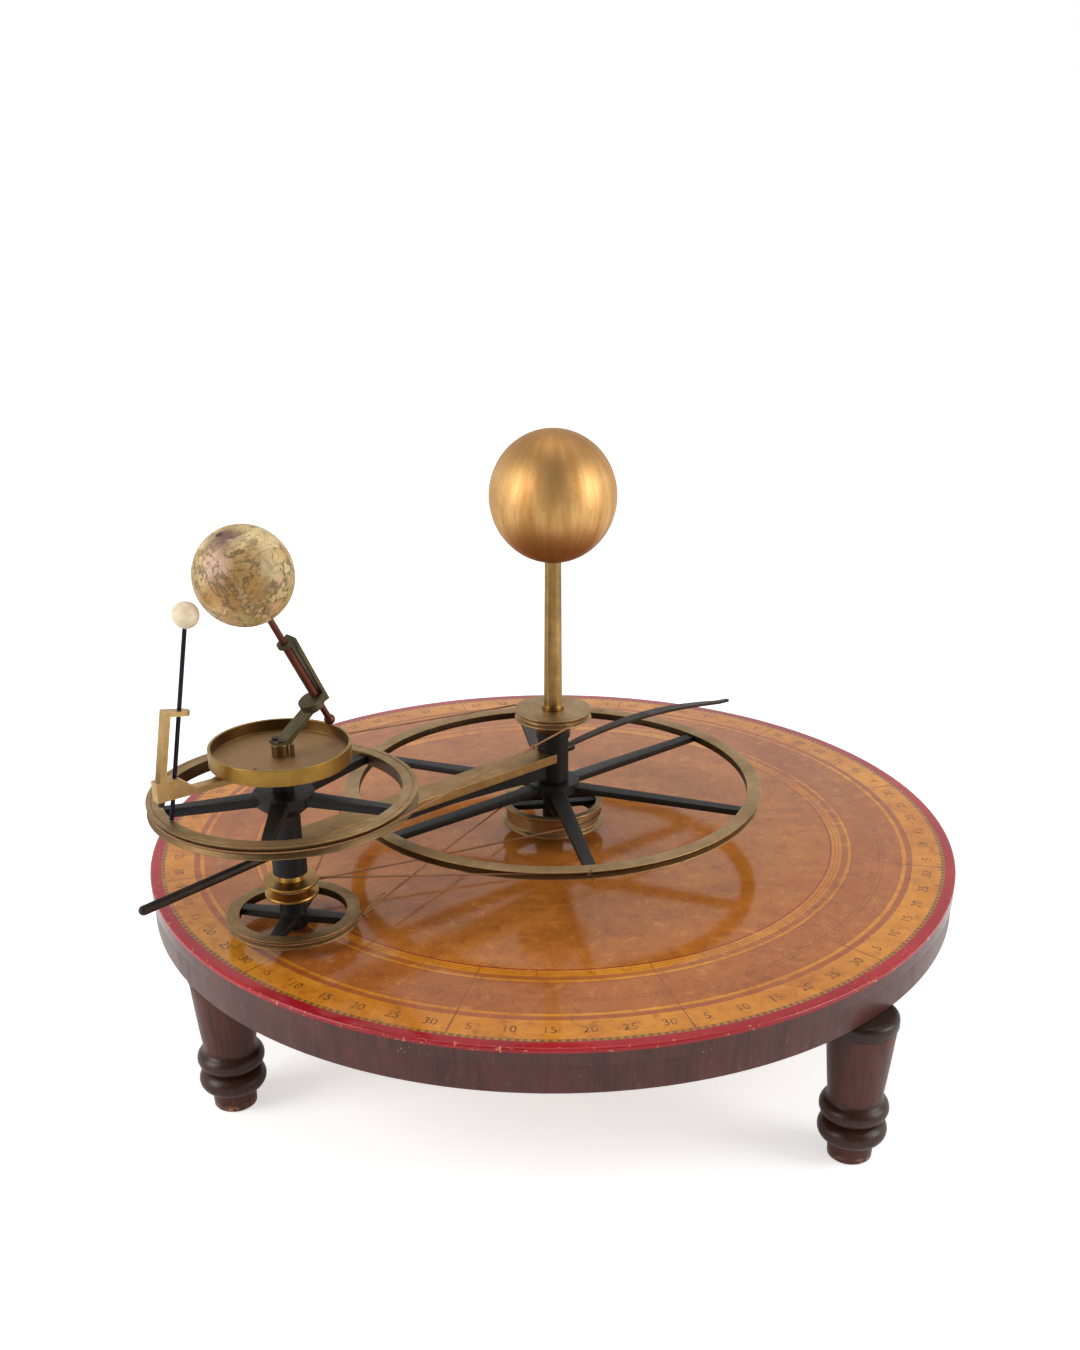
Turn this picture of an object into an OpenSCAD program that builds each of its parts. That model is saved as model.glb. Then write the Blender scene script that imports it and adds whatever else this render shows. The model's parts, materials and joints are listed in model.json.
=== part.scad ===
// Cord-driven sun, earth and moon machine on a round calendar table.
// Origin: on the floor under the centre column. +Z up. The earth arm points to azimuth arm_az.

/* [Table] */
// Radius of the round table top
table_r = 305; // [290:1:315]
// Height of the table top above the floor
table_h = 148; // [135:1:160]
// Thickness of the table board
board_t = 12; // [9:1:16]
// Depth of the apron hoop below the board
apron_h = 21; // [18:1:25]
// Wall of the apron hoop
apron_t = 40; // [38:1:46]
// Overhang of the board past the apron
board_lip = 0.8; // [0.2:0.2:3]
// Width of the battens under the board
batten_w = 50; // [44:2:60]

/* [Legs] */
// Distance of the front right and back left legs' middles from the table's edge
leg_inset_near = 11.4; // [10.4:0.2:18]
// Distance of the front left and back right legs' middles from the table's edge
leg_inset_far = 29.6; // [20:0.2:32]
// Direction of the first leg, in degrees
leg_az = -45.6; // [-52:0.2:-40]
// Angle between the two front legs
leg_spread = 101.6; // [94:0.2:106]
// Radius of the collar at the top of a leg
leg_collar_r = 24.5; // [22:0.5:26]
// Radius of the tapered body where it meets the collar
leg_body_r = 23.6; // [20:0.2:24.4]
// Radius of the tapered body at its lower end
leg_waist_r = 18.8; // [15:0.2:20]
// Outer radius of the two turned beads
leg_bead_r = 23.8; // [21:0.2:25]
// Radius of the foot below the beads
leg_foot_r = 15.4; // [13:0.2:17]
// Radius of the tenon that enters the hoop
leg_tenon_r = 6; // [5:0.5:7]
// Length of the tenon
leg_tenon_h = 16; // [10:1:18]

/* [Centre column] */
// Radius of the fixed centre rod
rod_r = 5; // [4:0.5:6]
// Radius of the spigot that carries the sun tube
spigot_r = 3.5; // [2.5:0.5:4]
// Groove floor radius of the base pulley
base_groove_r = 36; // [34:0.5:38]
// Flange radius of the base pulley
base_flange_r = 38.8; // [38.4:0.2:42]
// Wall of the base pulley's drum
base_wall = 3; // [2:0.5:4]
// Height of the base pulley's lower edge above the table
base_rim_z = 10; // [8:0.5:12]
// Height of the base pulley's rim
base_rim_h = 16.6; // [14:0.2:18]
// Length of the spacer between base pulley and big wheel
spacer_h = 8; // [6:0.5:12]
// Outer radius of the big wheel
big_r = 158.3; // [150:0.5:165]
// Width of the big wheel's flat rim
big_rim_w = 10.6; // [9:0.2:12]
// Height of the big wheel's rim
big_rim_h = 5.6; // [5:0.2:7]
// Depth of the big wheel's groove
big_groove_d = 5.8; // [4.5:0.1:6.5]
// Number of spokes in the big wheel
big_spokes = 6; // [5:1:8]
// Direction of the big wheel's first spoke
big_spoke_az = -20; // [-30:1:-10]
// Radius of the top pulley
top_flange_r = 28.7; // [27:0.1:31]
// Groove floor radius of the top pulley
top_groove_r = 26; // [24:0.5:26]

/* [Sun] */
// Radius of the sun tube at its foot
tube_foot_r = 6.9; // [6:0.1:8]
// Radius of the sun tube at its top
tube_top_r = 5.8; // [5:0.1:6]
// Length of the sun tube, with the end inside the ball
tube_h = 134; // [120:1:150]
// Radius of the gilt sun ball across
sun_r = 45.5; // [40:0.5:50]
// Half height of the gilt sun ball
sun_half_h = 47; // [40:0.5:52]

/* [Arm] */
// Distance from the centre column to the earth post
arm_len = 237; // [230:1:242]
// Direction of the arm, in degrees
arm_az = -138; // [-145:1:-130]
// Radius of the arm's centre sleeve
sleeve_r = 11.7; // [10.5:0.1:13]
// Height of the centre sleeve
sleeve_h = 40; // [36:1:42]
// Width of the brass bar
bar_w = 21; // [17:0.5:23]
// Thickness of the brass bar
bar_t = 7.2; // [6:0.2:8]
// Width of the iron bar below the brass bar
rib_w = 9; // [7:0.5:11]
// Depth of the iron bar along its outer part
rib_h = 7; // [5:0.5:9]
// Depth of the iron bar where it meets the centre sleeve
rib_root_h = 13.5; // [10:0.5:15]
// Radius of the lower part of the end sleeve
end_r = 11.5; // [10.5:0.1:13]
// Radius of the upper part of the end sleeve
end_upper_r = 9.6; // [9:0.1:10.4]
// Radius of the handle rod
handle_r = 3.2; // [2.5:0.1:4]
// Length of the handle rod outside the end sleeve
handle_len = 96; // [80:1:100]
// Droop of the handle, in degrees
handle_droop = 4.8; // [0:0.2:8]
// Length of the date pointer from the column
pointer_len = 198; // [180:1:210]

/* [Ring wheel] */
// Outer radius of the ring wheel
ring_r = 87.8; // [84:0.2:92]
// Width of the ring wheel's flat rim
ring_rim_w = 10.3; // [9:0.1:12]
// Height of the ring wheel's rim
ring_rim_h = 8.6; // [7:0.2:10]
// Depth of the ring wheel's groove
ring_groove_d = 2.8; // [2:0.1:3.5]
// Number of spokes in the ring wheel
ring_spokes = 5; // [4:1:6]
// Direction of the ring wheel's first spoke
ring_spoke_az = -89; // [-100:1:-80]

/* [Earth drive] */
// Radius of the spindle that turns the earth's tray
spindle_r = 3; // [2.5:0.1:3.4]
// Outer radius of the lower wheel
low_r = 45; // [42:0.5:48]
// Width of the lower wheel's rim
low_rim_w = 8.8; // [7:0.2:10]
// Height of the lower wheel's rim
low_rim_h = 6; // [5:0.2:8]
// Depth of the lower wheel's groove
low_groove_d = 3; // [2:0.1:3.5]
// Number of spokes in the lower wheel
low_spokes = 4; // [3:1:6]
// Direction of the lower wheel's first spoke
low_spoke_az = -11; // [-20:1:0]
// Outer radius of the tray
tray_r = 46; // [42:0.5:50]
// Height of the tray
tray_h = 11; // [9:0.5:13]
// Wall of the tray
tray_wall = 2; // [1.5:0.1:3]
// Floor of the tray
tray_floor = 3; // [2:0.5:4]
// Radius of the boss on the tray
boss_r = 5.5; // [5:0.5:7]

/* [Moon drive] */
// Outer radius of the tube that turns the moon's arm
moon_tube_r = 5; // [4.5:0.1:5.5]
// Flange radius of the moon pulley
moon_flange_r = 18.8; // [17:0.2:21]
// Groove floor radius of the moon pulley
moon_groove_r = 11.7; // [11:0.1:13]
// Distance of the moon rod's foot from the earth post
moon_foot_r = 78.5; // [78:0.1:84]
// Direction of the moon's arm, in degrees
moon_az = -142; // [-150:1:-134]
// Lean of the moon rod towards the earth, in degrees
moon_lean = 10.5; // [0:0.5:12]
// Radius of the moon rod
moon_rod_r = 1.4; // [1:0.1:1.8]
// Length of the moon rod up to the ball's centre
moon_rod_len = 130; // [120:1:140]
// Radius of the ivory moon ball
moon_r = 8.3; // [7:0.1:9]
// Width of the moon's brass strip
strip_w = 7.5; // [6:0.5:9]
// Thickness of the moon's brass strip
strip_t = 4; // [3:0.5:5]

/* [Globe] */
// Radius of the earth globe
globe_r = 31; // [28:0.5:32]
// Tilt of the globe's axis, in degrees
tilt = 27; // [23:0.5:29]
// Radius of the globe's spindle
pin_r = 2.2; // [1.6:0.1:2.5]
// Radius of the thick part of the spindle between the lugs
pin_sleeve_r = 2.9; // [2.6:0.1:3.2]
// Distance from the globe's centre to the knob
knob_drop = 120; // [115:1:125]
// Radius of the knob at the spindle's lower end
knob_r = 3.7; // [3:0.1:4.5]
// Thickness of the bent bracket
bracket_t = 2.2; // [1.6:0.2:3]
// Width of the bent bracket
bracket_w = 10.4; // [9:0.2:12]

/* [Fits] */
// Radial clearance of every running fit
run_gap = 0.05; // [0.02:0.01:0.08]
// Clearance between pieces that are seated or fastened together
seat_gap = 0.02; // [0.01:0.01:0.05]
// Vertical clearance between pieces that turn over each other
turn_gap = 0.3; // [0.2:0.05:0.5]
// Radius of the drive cords
cord_r = 0.7; // [0.5:0.05:0.8]

/* [Hidden] */
$fn = 96;

apron_z = -board_t - apron_h;
leg_h = table_h + apron_z;
apron_r = table_r - board_lip;
batten_reach = apron_r - apron_t - seat_gap;
leg_dirs = [leg_az, leg_az - leg_spread, leg_az + 180, leg_az - leg_spread + 180];
leg_rings = [for (inset = [leg_inset_near, leg_inset_far, leg_inset_near, leg_inset_far]) table_r - inset];
// The length of a cut that passes through everything
cut_h = 200;

// Heights above the table top, from the bottom of the centre column to its top
base_plate_t = 3;
base_hub_r = 8;
base_hub_h = base_rim_z + base_rim_h + 1.4;
spacer_z = base_hub_h + seat_gap;
big_hub_z = spacer_z + spacer_h + seat_gap;
big_spoke_t = 4.5;
big_hub_r = 20;
big_hub_t = 7.5;
big_rim_z = big_hub_z + 1.2;
big_groove_z = big_rim_z + big_rim_h / 2;
big_lip = 0.5;
sleeve_z = big_hub_z + big_hub_t + turn_gap;
sleeve_top = sleeve_z + sleeve_h;
top_pulley_z = sleeve_top + turn_gap;
top_neck_h = 10;
top_rim_h = 7;
top_groove_z = top_pulley_z + top_neck_h + top_rim_h / 2;
tube_z = top_pulley_z + top_neck_h + top_rim_h + seat_gap;
spigot_h = 50;
sun_seat = 22;
sun_z = tube_z + tube_h - sun_seat + sun_half_h;

// Heights above the table top along the earth post
low_hub_z = 4;
low_hub_r = 9;
low_rim_z = 9;
low_spoke_t = 5;
low_groove_z = low_rim_z + low_rim_h / 2;
low_hub_h = 24;
moon_pulley_z = low_hub_z + low_hub_h + turn_gap;
moon_pulley_h = 11;
moon_groove_z = moon_pulley_z + 5.5;
moon_neck_h = 5;
end_z = moon_pulley_z + moon_pulley_h + moon_neck_h + turn_gap;
bar_top = sleeve_z + 24.5;
bar_z = bar_top - bar_t;
rib_z = bar_z - seat_gap - rib_h;
end_lower_h = 15;
ring_seat_z = 88;
ring_neck_r = 7.4;
ring_hub_r = 20;
ring_hub_h = 15;
ring_top = 104.5;
ring_rim_z = ring_top - ring_rim_h;
ring_groove_z = ring_rim_z + ring_rim_h / 2;
ring_spoke_z = 96.5;
ring_spoke_t = 6;
end_top = ring_seat_z + turn_gap + ring_hub_h + turn_gap;
moon_hub_z = end_top + turn_gap;
moon_hub_r = 7;
strip_z = 119.5;
strip_top = strip_z + strip_t;
tray_z = strip_top + 2 * turn_gap + 1.6;
tray_top = tray_z + tray_h;
boss_top = tray_z + tray_floor + 8;
// The spindle ends inside the boss, below the bracket's two screws
spindle_top = boss_top - 4.5;

// The globe's tilted axis, in the plane of the arm: s outward from the post, z above the table
globe_s = 15.4;
globe_z = 250.3;
top_lug_d = 56;
low_lug_d = 104;
lug_t = 2.6;
low_lug_t = 6;
bracket_screw_r = 1.2;

// Pitch radii of the cord drives
big_pitch_r = big_r - big_groove_d + cord_r;
moon_pitch_r = moon_groove_r + cord_r;
base_pitch_r = base_groove_r + cord_r;
low_pitch_r = low_r - low_groove_d + cord_r;
top_pitch_r = top_groove_r + cord_r;
ring_pitch_r = ring_r - ring_groove_d + cord_r;

// The room that a cord's flat-sided tube needs above the floor of a groove
cord_lift = 0.9;
top_cord_lift = 0.6;
// The moon cord climbs a little on the big wheel, so that it clears the lip where it runs down
moon_cord_climb = 0.15;

module on_table(z = 0) {
    translate([0, 0, table_h + z]) children();
}

module at_post(z = 0, az = arm_az) {
    rotate([0, 0, arm_az]) translate([arm_len, 0, table_h + z]) rotate([0, 0, az - arm_az]) children();
}

// A plain round piece with a bore, from z = 0 up
module bored(r, h, bore) {
    difference() {
        cylinder(r = r, h = h);
        translate([0, 0, -1]) cylinder(r = bore, h = h + 2);
    }
}

// Cross-section of a grooved rim: outer radius r, width w, height h, groove of depth d
module rim_section(r, w, h, d, lip) {
    polygon([[r - w, 0], [r, 0], [r, lip], [r - d, h / 2 - cord_r], [r - d, h / 2 + cord_r],
        [r, h - lip], [r, h], [r - w, h]]);
}

module grooved_rim(r, w, h, d, lip) {
    rotate_extrude() rim_section(r, w, h, d, lip);
}

// A hub with tapered flat spokes that end on the inside of a rim of radius reach
module spider(reach, hub_r, hub_z, hub_h, spoke_z, spoke_t, count, first_az, root_w, tip_w, bore) {
    difference() {
        union() {
            translate([0, 0, hub_z]) cylinder(r = hub_r, h = hub_h);
            intersection() {
                translate([0, 0, spoke_z]) cylinder(r = reach - seat_gap, h = spoke_t);
                for (k = [0 : count - 1])
                    rotate([0, 0, first_az + 360 * k / count]) translate([0, 0, spoke_z])
                        linear_extrude(spoke_t)
                            polygon([[0, -root_w / 2], [reach + 1, -tip_w / 2],
                                [reach + 1, tip_w / 2], [0, root_w / 2]]);
            }
        }
        translate([0, 0, min(hub_z, spoke_z) - 1]) cylinder(r = bore, h = hub_h + spoke_t + 20);
    }
}

// The table

module table_top() {
    round_r = 1.6;
    color([0.78, 0.44, 0.20]) on_table(-board_t) difference() {
        rotate_extrude() {
            translate([0, 0]) square([table_r - round_r, board_t]);
            translate([0, round_r]) square([table_r, board_t - 2 * round_r]);
            for (z = [round_r, board_t - round_r])
                translate([table_r - round_r, z]) intersection() {
                    circle(r = round_r, $fn = 32);
                    translate([0, -round_r]) square([round_r, 2 * round_r]);
                }
        }
        translate([0, 0, -1]) cylinder(r = rod_r + run_gap, h = board_t + 2);
    }
}

module apron_hoop() {
    color([0.30, 0.13, 0.11]) on_table(apron_z) difference() {
        cylinder(r = apron_r, h = apron_h - seat_gap, $fn = 180);
        translate([0, 0, -1]) cylinder(r = apron_r - apron_t, h = apron_h + 2, $fn = 180);
        for (k = [0 : 3]) rotate([0, 0, leg_dirs[k]]) translate([leg_rings[k], 0, -1])
            cylinder(r = leg_tenon_r + run_gap, h = leg_tenon_h + 1 + turn_gap);
    }
}

// One batten of the cross, notched to half its depth where the other one passes
module batten(az, other_az, notch_z) {
    color([0.36, 0.20, 0.13]) on_table(apron_z) difference() {
        intersection() {
            rotate([0, 0, az]) translate([-table_r, -batten_w / 2, 0])
                cube([2 * table_r, batten_w, apron_h - seat_gap]);
            cylinder(r = batten_reach, h = apron_h);
        }
        rotate([0, 0, other_az]) translate([-table_r, -batten_w / 2 - seat_gap, notch_z])
            cube([2 * table_r, batten_w + 2 * seat_gap, apron_h / 2 + 1]);
        translate([0, 0, -1]) cylinder(r = rod_r + run_gap, h = apron_h + 2);
    }
}

module batten_lower() {
    batten(leg_dirs[0], leg_dirs[1], apron_h / 2);
}

module batten_upper() {
    batten(leg_dirs[1], leg_dirs[0], -1 + seat_gap);
}

// A turned leg: foot, two beads, tapered body, dark collar and tenon
module leg(k) {
    low_bead = 8.6;
    low_bead_z = 23;
    high_bead = 7.6;
    high_bead_z = 40.4;
    waist_z = 51;
    collar_h = 10;
    collar_round = 4;
    body_top = leg_h - collar_h;
    rotate([0, 0, leg_dirs[k]]) translate([leg_rings[k], 0, 0]) {
        color([0.34, 0.15, 0.12]) {
            cylinder(r1 = leg_foot_r - 0.8, r2 = leg_foot_r, h = 2);
            translate([0, 0, 2]) cylinder(r = leg_foot_r, h = low_bead_z - 2);
            for (bead = [[low_bead_z, low_bead], [high_bead_z, high_bead]])
                translate([0, 0, bead[0]]) rotate_extrude()
                    translate([leg_bead_r - bead[1], 0]) circle(r = bead[1], $fn = 48);
            translate([0, 0, low_bead_z]) cylinder(r = leg_waist_r - 1, h = waist_z - low_bead_z);
            translate([0, 0, high_bead_z])
                cylinder(r1 = leg_bead_r - 2, r2 = leg_waist_r, h = waist_z - high_bead_z);
            translate([0, 0, waist_z]) cylinder(r1 = leg_waist_r, r2 = leg_body_r, h = body_top - waist_z);
            translate([0, 0, body_top]) cylinder(r = leg_body_r - 1, h = 1);
            translate([0, 0, body_top + 1]) cylinder(r = leg_collar_r, h = collar_h - 1 - collar_round);
            translate([0, 0, leg_h - collar_round]) rotate_extrude()
                translate([leg_collar_r - collar_round, 0]) intersection() {
                    circle(r = collar_round, $fn = 48);
                    translate([0, 0]) square([collar_round, collar_round - seat_gap]);
                }
            translate([0, 0, leg_h - collar_round])
                cylinder(r = leg_collar_r - collar_round, h = collar_round - seat_gap);
            translate([0, 0, leg_h - collar_round]) cylinder(r = leg_tenon_r, h = collar_round + leg_tenon_h);
        }
    }
}

// The fixed centre column

module centre_rod() {
    foot = 9;
    color([0.42, 0.40, 0.37]) {
        on_table(apron_z - foot) cylinder(r = rod_r, h = tube_z - seat_gap - apron_z + foot);
        on_table(tube_z - 1) cylinder(r = spigot_r, h = spigot_h + 1);
    }
}

module rod_nut() {
    nut_h = 7;
    color([0.35, 0.33, 0.30]) on_table(apron_z - nut_h - seat_gap) difference() {
        cylinder(r = 10, h = nut_h, $fn = 6);
        translate([0, 0, -1]) cylinder(r = rod_r + seat_gap, h = nut_h + 2);
    }
}

module base_pulley_rim() {
    lip = 1.6;
    color([0.62, 0.47, 0.24]) on_table(base_rim_z) rotate_extrude()
        polygon([[base_groove_r - base_wall, 0], [base_flange_r, 0], [base_flange_r, lip],
            [base_groove_r, lip + 1.6], [base_groove_r, base_rim_h - lip - 1.6],
            [base_flange_r, base_rim_h - lip], [base_flange_r, base_rim_h],
            [base_groove_r - base_wall, base_rim_h]]);
}

module base_pulley_spider() {
    spoke_t = 4;
    color([0.13, 0.13, 0.13]) on_table() {
        spider(base_groove_r - base_wall, base_hub_r, 0, base_hub_h,
            base_rim_z + base_rim_h - spoke_t - 2, spoke_t, 4, 10, 9, 6, rod_r + seat_gap);
        bored(base_hub_r + 6, base_plate_t, rod_r + seat_gap);
    }
}

module hub_spacer() {
    color([0.12, 0.12, 0.12]) on_table(spacer_z) bored(base_hub_r, spacer_h, rod_r + seat_gap);
}

module big_wheel_rim() {
    color([0.66, 0.52, 0.30]) on_table(big_rim_z) rotate_extrude($fn = 180)
        rim_section(big_r, big_rim_w, big_rim_h, big_groove_d, big_lip);
}

module big_wheel_spider() {
    spoke_z = big_rim_z - 0.4;
    color([0.14, 0.14, 0.14]) on_table() spider(big_r - big_rim_w, big_hub_r, big_hub_z, big_hub_t,
        spoke_z, big_spoke_t, big_spokes, big_spoke_az, 12, 8, rod_r + seat_gap);
}

module top_pulley() {
    lip = 1;
    color([0.68, 0.54, 0.31]) on_table(top_pulley_z) difference() {
        union() {
            cylinder(r1 = sleeve_r + 1, r2 = top_groove_r - 3, h = top_neck_h);
            translate([0, 0, top_neck_h]) rotate_extrude()
                polygon([[0, 0], [top_flange_r, 0], [top_flange_r, lip],
                    [top_groove_r, top_rim_h / 2 - cord_r], [top_groove_r, top_rim_h / 2 + cord_r],
                    [top_flange_r, top_rim_h - lip], [top_flange_r, top_rim_h], [0, top_rim_h]]);
        }
        translate([0, 0, -1]) cylinder(r = rod_r + seat_gap, h = top_neck_h + top_rim_h + 2);
    }
}

module sun_tube() {
    foot_h = 3;
    color([0.66, 0.51, 0.26]) on_table(tube_z) difference() {
        union() {
            cylinder(r = tube_foot_r + 1.2, h = foot_h);
            cylinder(r1 = tube_foot_r, r2 = tube_top_r, h = tube_h);
        }
        translate([0, 0, -1]) cylinder(r = spigot_r + seat_gap, h = spigot_h + 2);
    }
}

// A turned ball that is slightly taller than wide, bored for the top of the tube
module sun_ball() {
    steps = 36;
    color([0.80, 0.58, 0.25]) on_table(sun_z) difference() {
        rotate_extrude() polygon([for (k = [0 : steps])
            [sun_r * sin(180 * k / steps), -sun_half_h * cos(180 * k / steps)]]);
        translate([0, 0, -sun_half_h - 1])
            cylinder(r = tube_top_r + seat_gap + 0.2, h = sun_seat + 1 + seat_gap);
    }
}

// The arm

module centre_sleeve() {
    collar_h = 5;
    color([0.13, 0.13, 0.13]) on_table(sleeve_z) difference() {
        union() {
            cylinder(r = sleeve_r, h = sleeve_h);
            translate([0, 0, sleeve_h - collar_h]) cylinder(r = sleeve_r + 1.2, h = collar_h);
        }
        translate([0, 0, -1]) cylinder(r = rod_r + run_gap, h = sleeve_h + 2);
    }
}

module arm_bar() {
    end_setback = 6;
    color([0.62, 0.50, 0.28]) rotate([0, 0, arm_az]) difference() {
        on_table(bar_z) translate([0, -bar_w / 2, 0]) cube([arm_len - end_setback, bar_w, bar_t]);
        on_table(bar_z - 1) cylinder(r = sleeve_r + seat_gap, h = bar_t + 2);
        translate([arm_len, 0, table_h + bar_z - 1]) cylinder(r = end_upper_r + seat_gap, h = bar_t + 2);
    }
}

// The iron bar under the brass one, deeper where it meets the centre sleeve
module arm_rib() {
    taper_mid = 0.22 * arm_len;
    taper_end = 0.42 * arm_len;
    mid_h = rib_h + 0.45 * (rib_root_h - rib_h);
    rib_top = rib_z + rib_h;
    root_z = rib_top - rib_root_h;
    color([0.12, 0.12, 0.12]) rotate([0, 0, arm_az]) difference() {
        translate([0, rib_w / 2, table_h]) rotate([90, 0, 0]) linear_extrude(rib_w)
            polygon([[0, root_z], [sleeve_r, root_z], [taper_mid, rib_top - mid_h],
                [taper_end, rib_z], [arm_len, rib_z], [arm_len, rib_top], [0, rib_top]]);
        on_table() cylinder(r = sleeve_r + seat_gap, h = cut_h);
        translate([arm_len, 0, table_h]) cylinder(r = end_r + seat_gap, h = cut_h);
    }
}

// A leaf-shaped hand: a curved strip seen from the side, cut to a leaf seen from above
module date_pointer() {
    hand_t = 2.2;
    start = sleeve_r + seat_gap;
    arc_rise = 7;
    end_drop = 7;
    leaf = [[0, 2], [0.25, 3.2], [0.5, 4.5], [0.66, 4.5], [0.86, 3], [1, 1.4]];
    start_z = bar_top - 4;
    steps = 16;
    function hand_z(s) = start_z + arc_rise * sin(180 * min(s / (0.95 * pointer_len), 1))
        - end_drop * pow(s / pointer_len, 2);
    color([0.24, 0.20, 0.17]) rotate([0, 0, arm_az + 180]) {
        difference() {
            intersection() {
                translate([0, 10, table_h]) rotate([90, 0, 0]) linear_extrude(20)
                    polygon(concat(
                        [for (k = [0 : steps]) let (s = pointer_len * k / steps) [s, hand_z(s)]],
                        [for (k = [steps : -1 : 0]) let (s = pointer_len * k / steps)
                            [s, hand_z(s) + hand_t]]));
                on_table() linear_extrude(cut_h) polygon(concat(
                    [for (p = leaf) [pointer_len * p[0], -p[1]]],
                    [for (k = [len(leaf) - 1 : -1 : 0]) [pointer_len * leaf[k][0], leaf[k][1]]]));
            }
            on_table() cylinder(r = start + 6, h = cut_h);
        }
        translate([0, 0, table_h + hand_z(0)]) difference() {
            translate([0, 0, hand_t / 2]) rotate([0, 90, 0]) cylinder(r = 3.4, h = start + 8);
            translate([0, 0, -10]) cylinder(r = start, h = 20);
        }
    }
}

module end_sleeve() {
    bore = moon_tube_r + run_gap;
    color([0.13, 0.13, 0.13]) at_post(end_z) difference() {
        union() {
            cylinder(r = end_r, h = bar_z - seat_gap - end_z);
            cylinder(r = end_upper_r, h = ring_seat_z - end_z);
            cylinder(r = ring_neck_r, h = end_top - end_z);
        }
        translate([0, 0, -1]) cylinder(r = bore, h = end_top - end_z + 2);
        handle_path(handle_r + seat_gap);
    }
}

// The line of the handle, from its seat in the end sleeve, seen from end_z at the post
handle_seat = 7.5;
handle_z = 61.3;
module handle_path(r) {
    translate([handle_seat, 0, handle_z - end_z + (end_r - handle_seat) * tan(handle_droop)])
        rotate([0, 90 + handle_droop, 0]) cylinder(r = r, h = handle_len + end_r - handle_seat, $fn = 48);
}

module arm_handle() {
    tip = (handle_len + end_r - handle_seat);
    color([0.15, 0.13, 0.12]) at_post(end_z) {
        handle_path(handle_r);
        translate([handle_seat, 0, handle_z - end_z + (end_r - handle_seat) * tan(handle_droop)])
            rotate([0, 90 + handle_droop, 0]) translate([0, 0, tip]) sphere(r = handle_r, $fn = 48);
    }
}

// Screws that hold the brass bar to the iron one, from below
module arm_screws() {
    color([0.24, 0.21, 0.17]) rotate([0, 0, arm_az]) on_table(rib_z - seat_gap)
        for (s = [0.5, 0.7, 0.9]) translate([arm_len * s, 0, 0]) rotate([180, 0, 0]) difference() {
            cylinder(r = 2.6, h = 1.2);
            translate([-3, -0.35, 0.7]) cube([6, 0.7, 1]);
        }
}

// The drive cords. Each is a closed loop round two pulleys, in the arm's own frame.
// c0 and c1: half the angle of the centre pulley and of the follower that the cord leaves free.

function arc_points(x, r, a0, a1, n, z) = [for (k = [0 : n]) let (a = a0 + (a1 - a0) * k / n)
    [x + r * cos(a), r * sin(a), z]];

// Open loop: centre pulley of radius p at the origin, follower of radius q at distance arm_len
function open_loop(p, zp, q, zq, np, nq) = let (free = acos((p - q) / arm_len)) concat(
    arc_points(0, p, free, 360 - free, np, zp),
    arc_points(arm_len, q, -free, free, nq, zq));

// Crossed loop: the two runs pass over each other with one cord's room between them
function crossed_loop(p, zp, q, zq, np, nq) = let (
    free = acos((p + q) / arm_len), x = arm_len * p / (p + q), z = zp + (zq - zp) * p / (p + q),
    lift = cord_r + 0.15) concat(
    arc_points(0, p, free, 360 - free, np, zp),
    [[x, 0, z + lift]],
    arc_points(arm_len, q, 180 - free, -180 + free, nq, zq),
    [[x, 0, z - lift]]);

// A closed tube of eight sides along a loop of points
module loop_tube(path, r) {
    n = len(path);
    sides = 8;
    function unit(v) = v / norm(v);
    points = [for (k = [0 : n - 1])
        let (t = unit(path[(k + 1) % n] - path[(k + n - 1) % n]),
            side = unit(cross([0, 0, 1], t)), up = cross(t, side))
        for (j = [0 : sides - 1])
            path[k] + r * (cos(360 * j / sides) * side + sin(360 * j / sides) * up)];
    faces = [for (k = [0 : n - 1], j = [0 : sides - 1])
        let (a = k * sides, b = ((k + 1) % n) * sides, i = (j + 1) % sides)
        [a + j, a + i, b + i, b + j]];
    polyhedron(points = points, faces = faces, convexity = 6);
}

cord_colour = [0.46, 0.29, 0.17];

module moon_cord() {
    color(cord_colour) rotate([0, 0, arm_az]) on_table() loop_tube(crossed_loop(
        big_pitch_r + cord_lift, big_groove_z + moon_cord_climb,
        moon_pitch_r + cord_lift, moon_groove_z, 22, 7), cord_r);
}

module earth_cord() {
    color(cord_colour) rotate([0, 0, arm_az]) on_table() loop_tube(crossed_loop(
        base_pitch_r + cord_lift, base_rim_z + base_rim_h / 2,
        low_pitch_r + cord_lift, low_groove_z, 10, 11), cord_r);
}

module ring_cord() {
    color(cord_colour) rotate([0, 0, arm_az]) on_table() loop_tube(open_loop(
        top_pitch_r + top_cord_lift, top_groove_z,
        ring_pitch_r + cord_lift, ring_groove_z, 8, 14), cord_r);
}

// The ring wheel

module ring_wheel_rim() {
    step_w = 1.6;
    color([0.64, 0.51, 0.29]) at_post(ring_rim_z) difference() {
        rotate_extrude($fn = 144)
            rim_section(ring_r, ring_rim_w, ring_rim_h, ring_groove_d, 0.8);
        translate([0, 0, ring_rim_h - 0.5]) difference() {
            cylinder(r = ring_r - 2.6, h = 1, $fn = 144);
            translate([0, 0, -1]) cylinder(r = ring_r - 2.6 - step_w, h = 3, $fn = 144);
        }
    }
}

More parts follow.
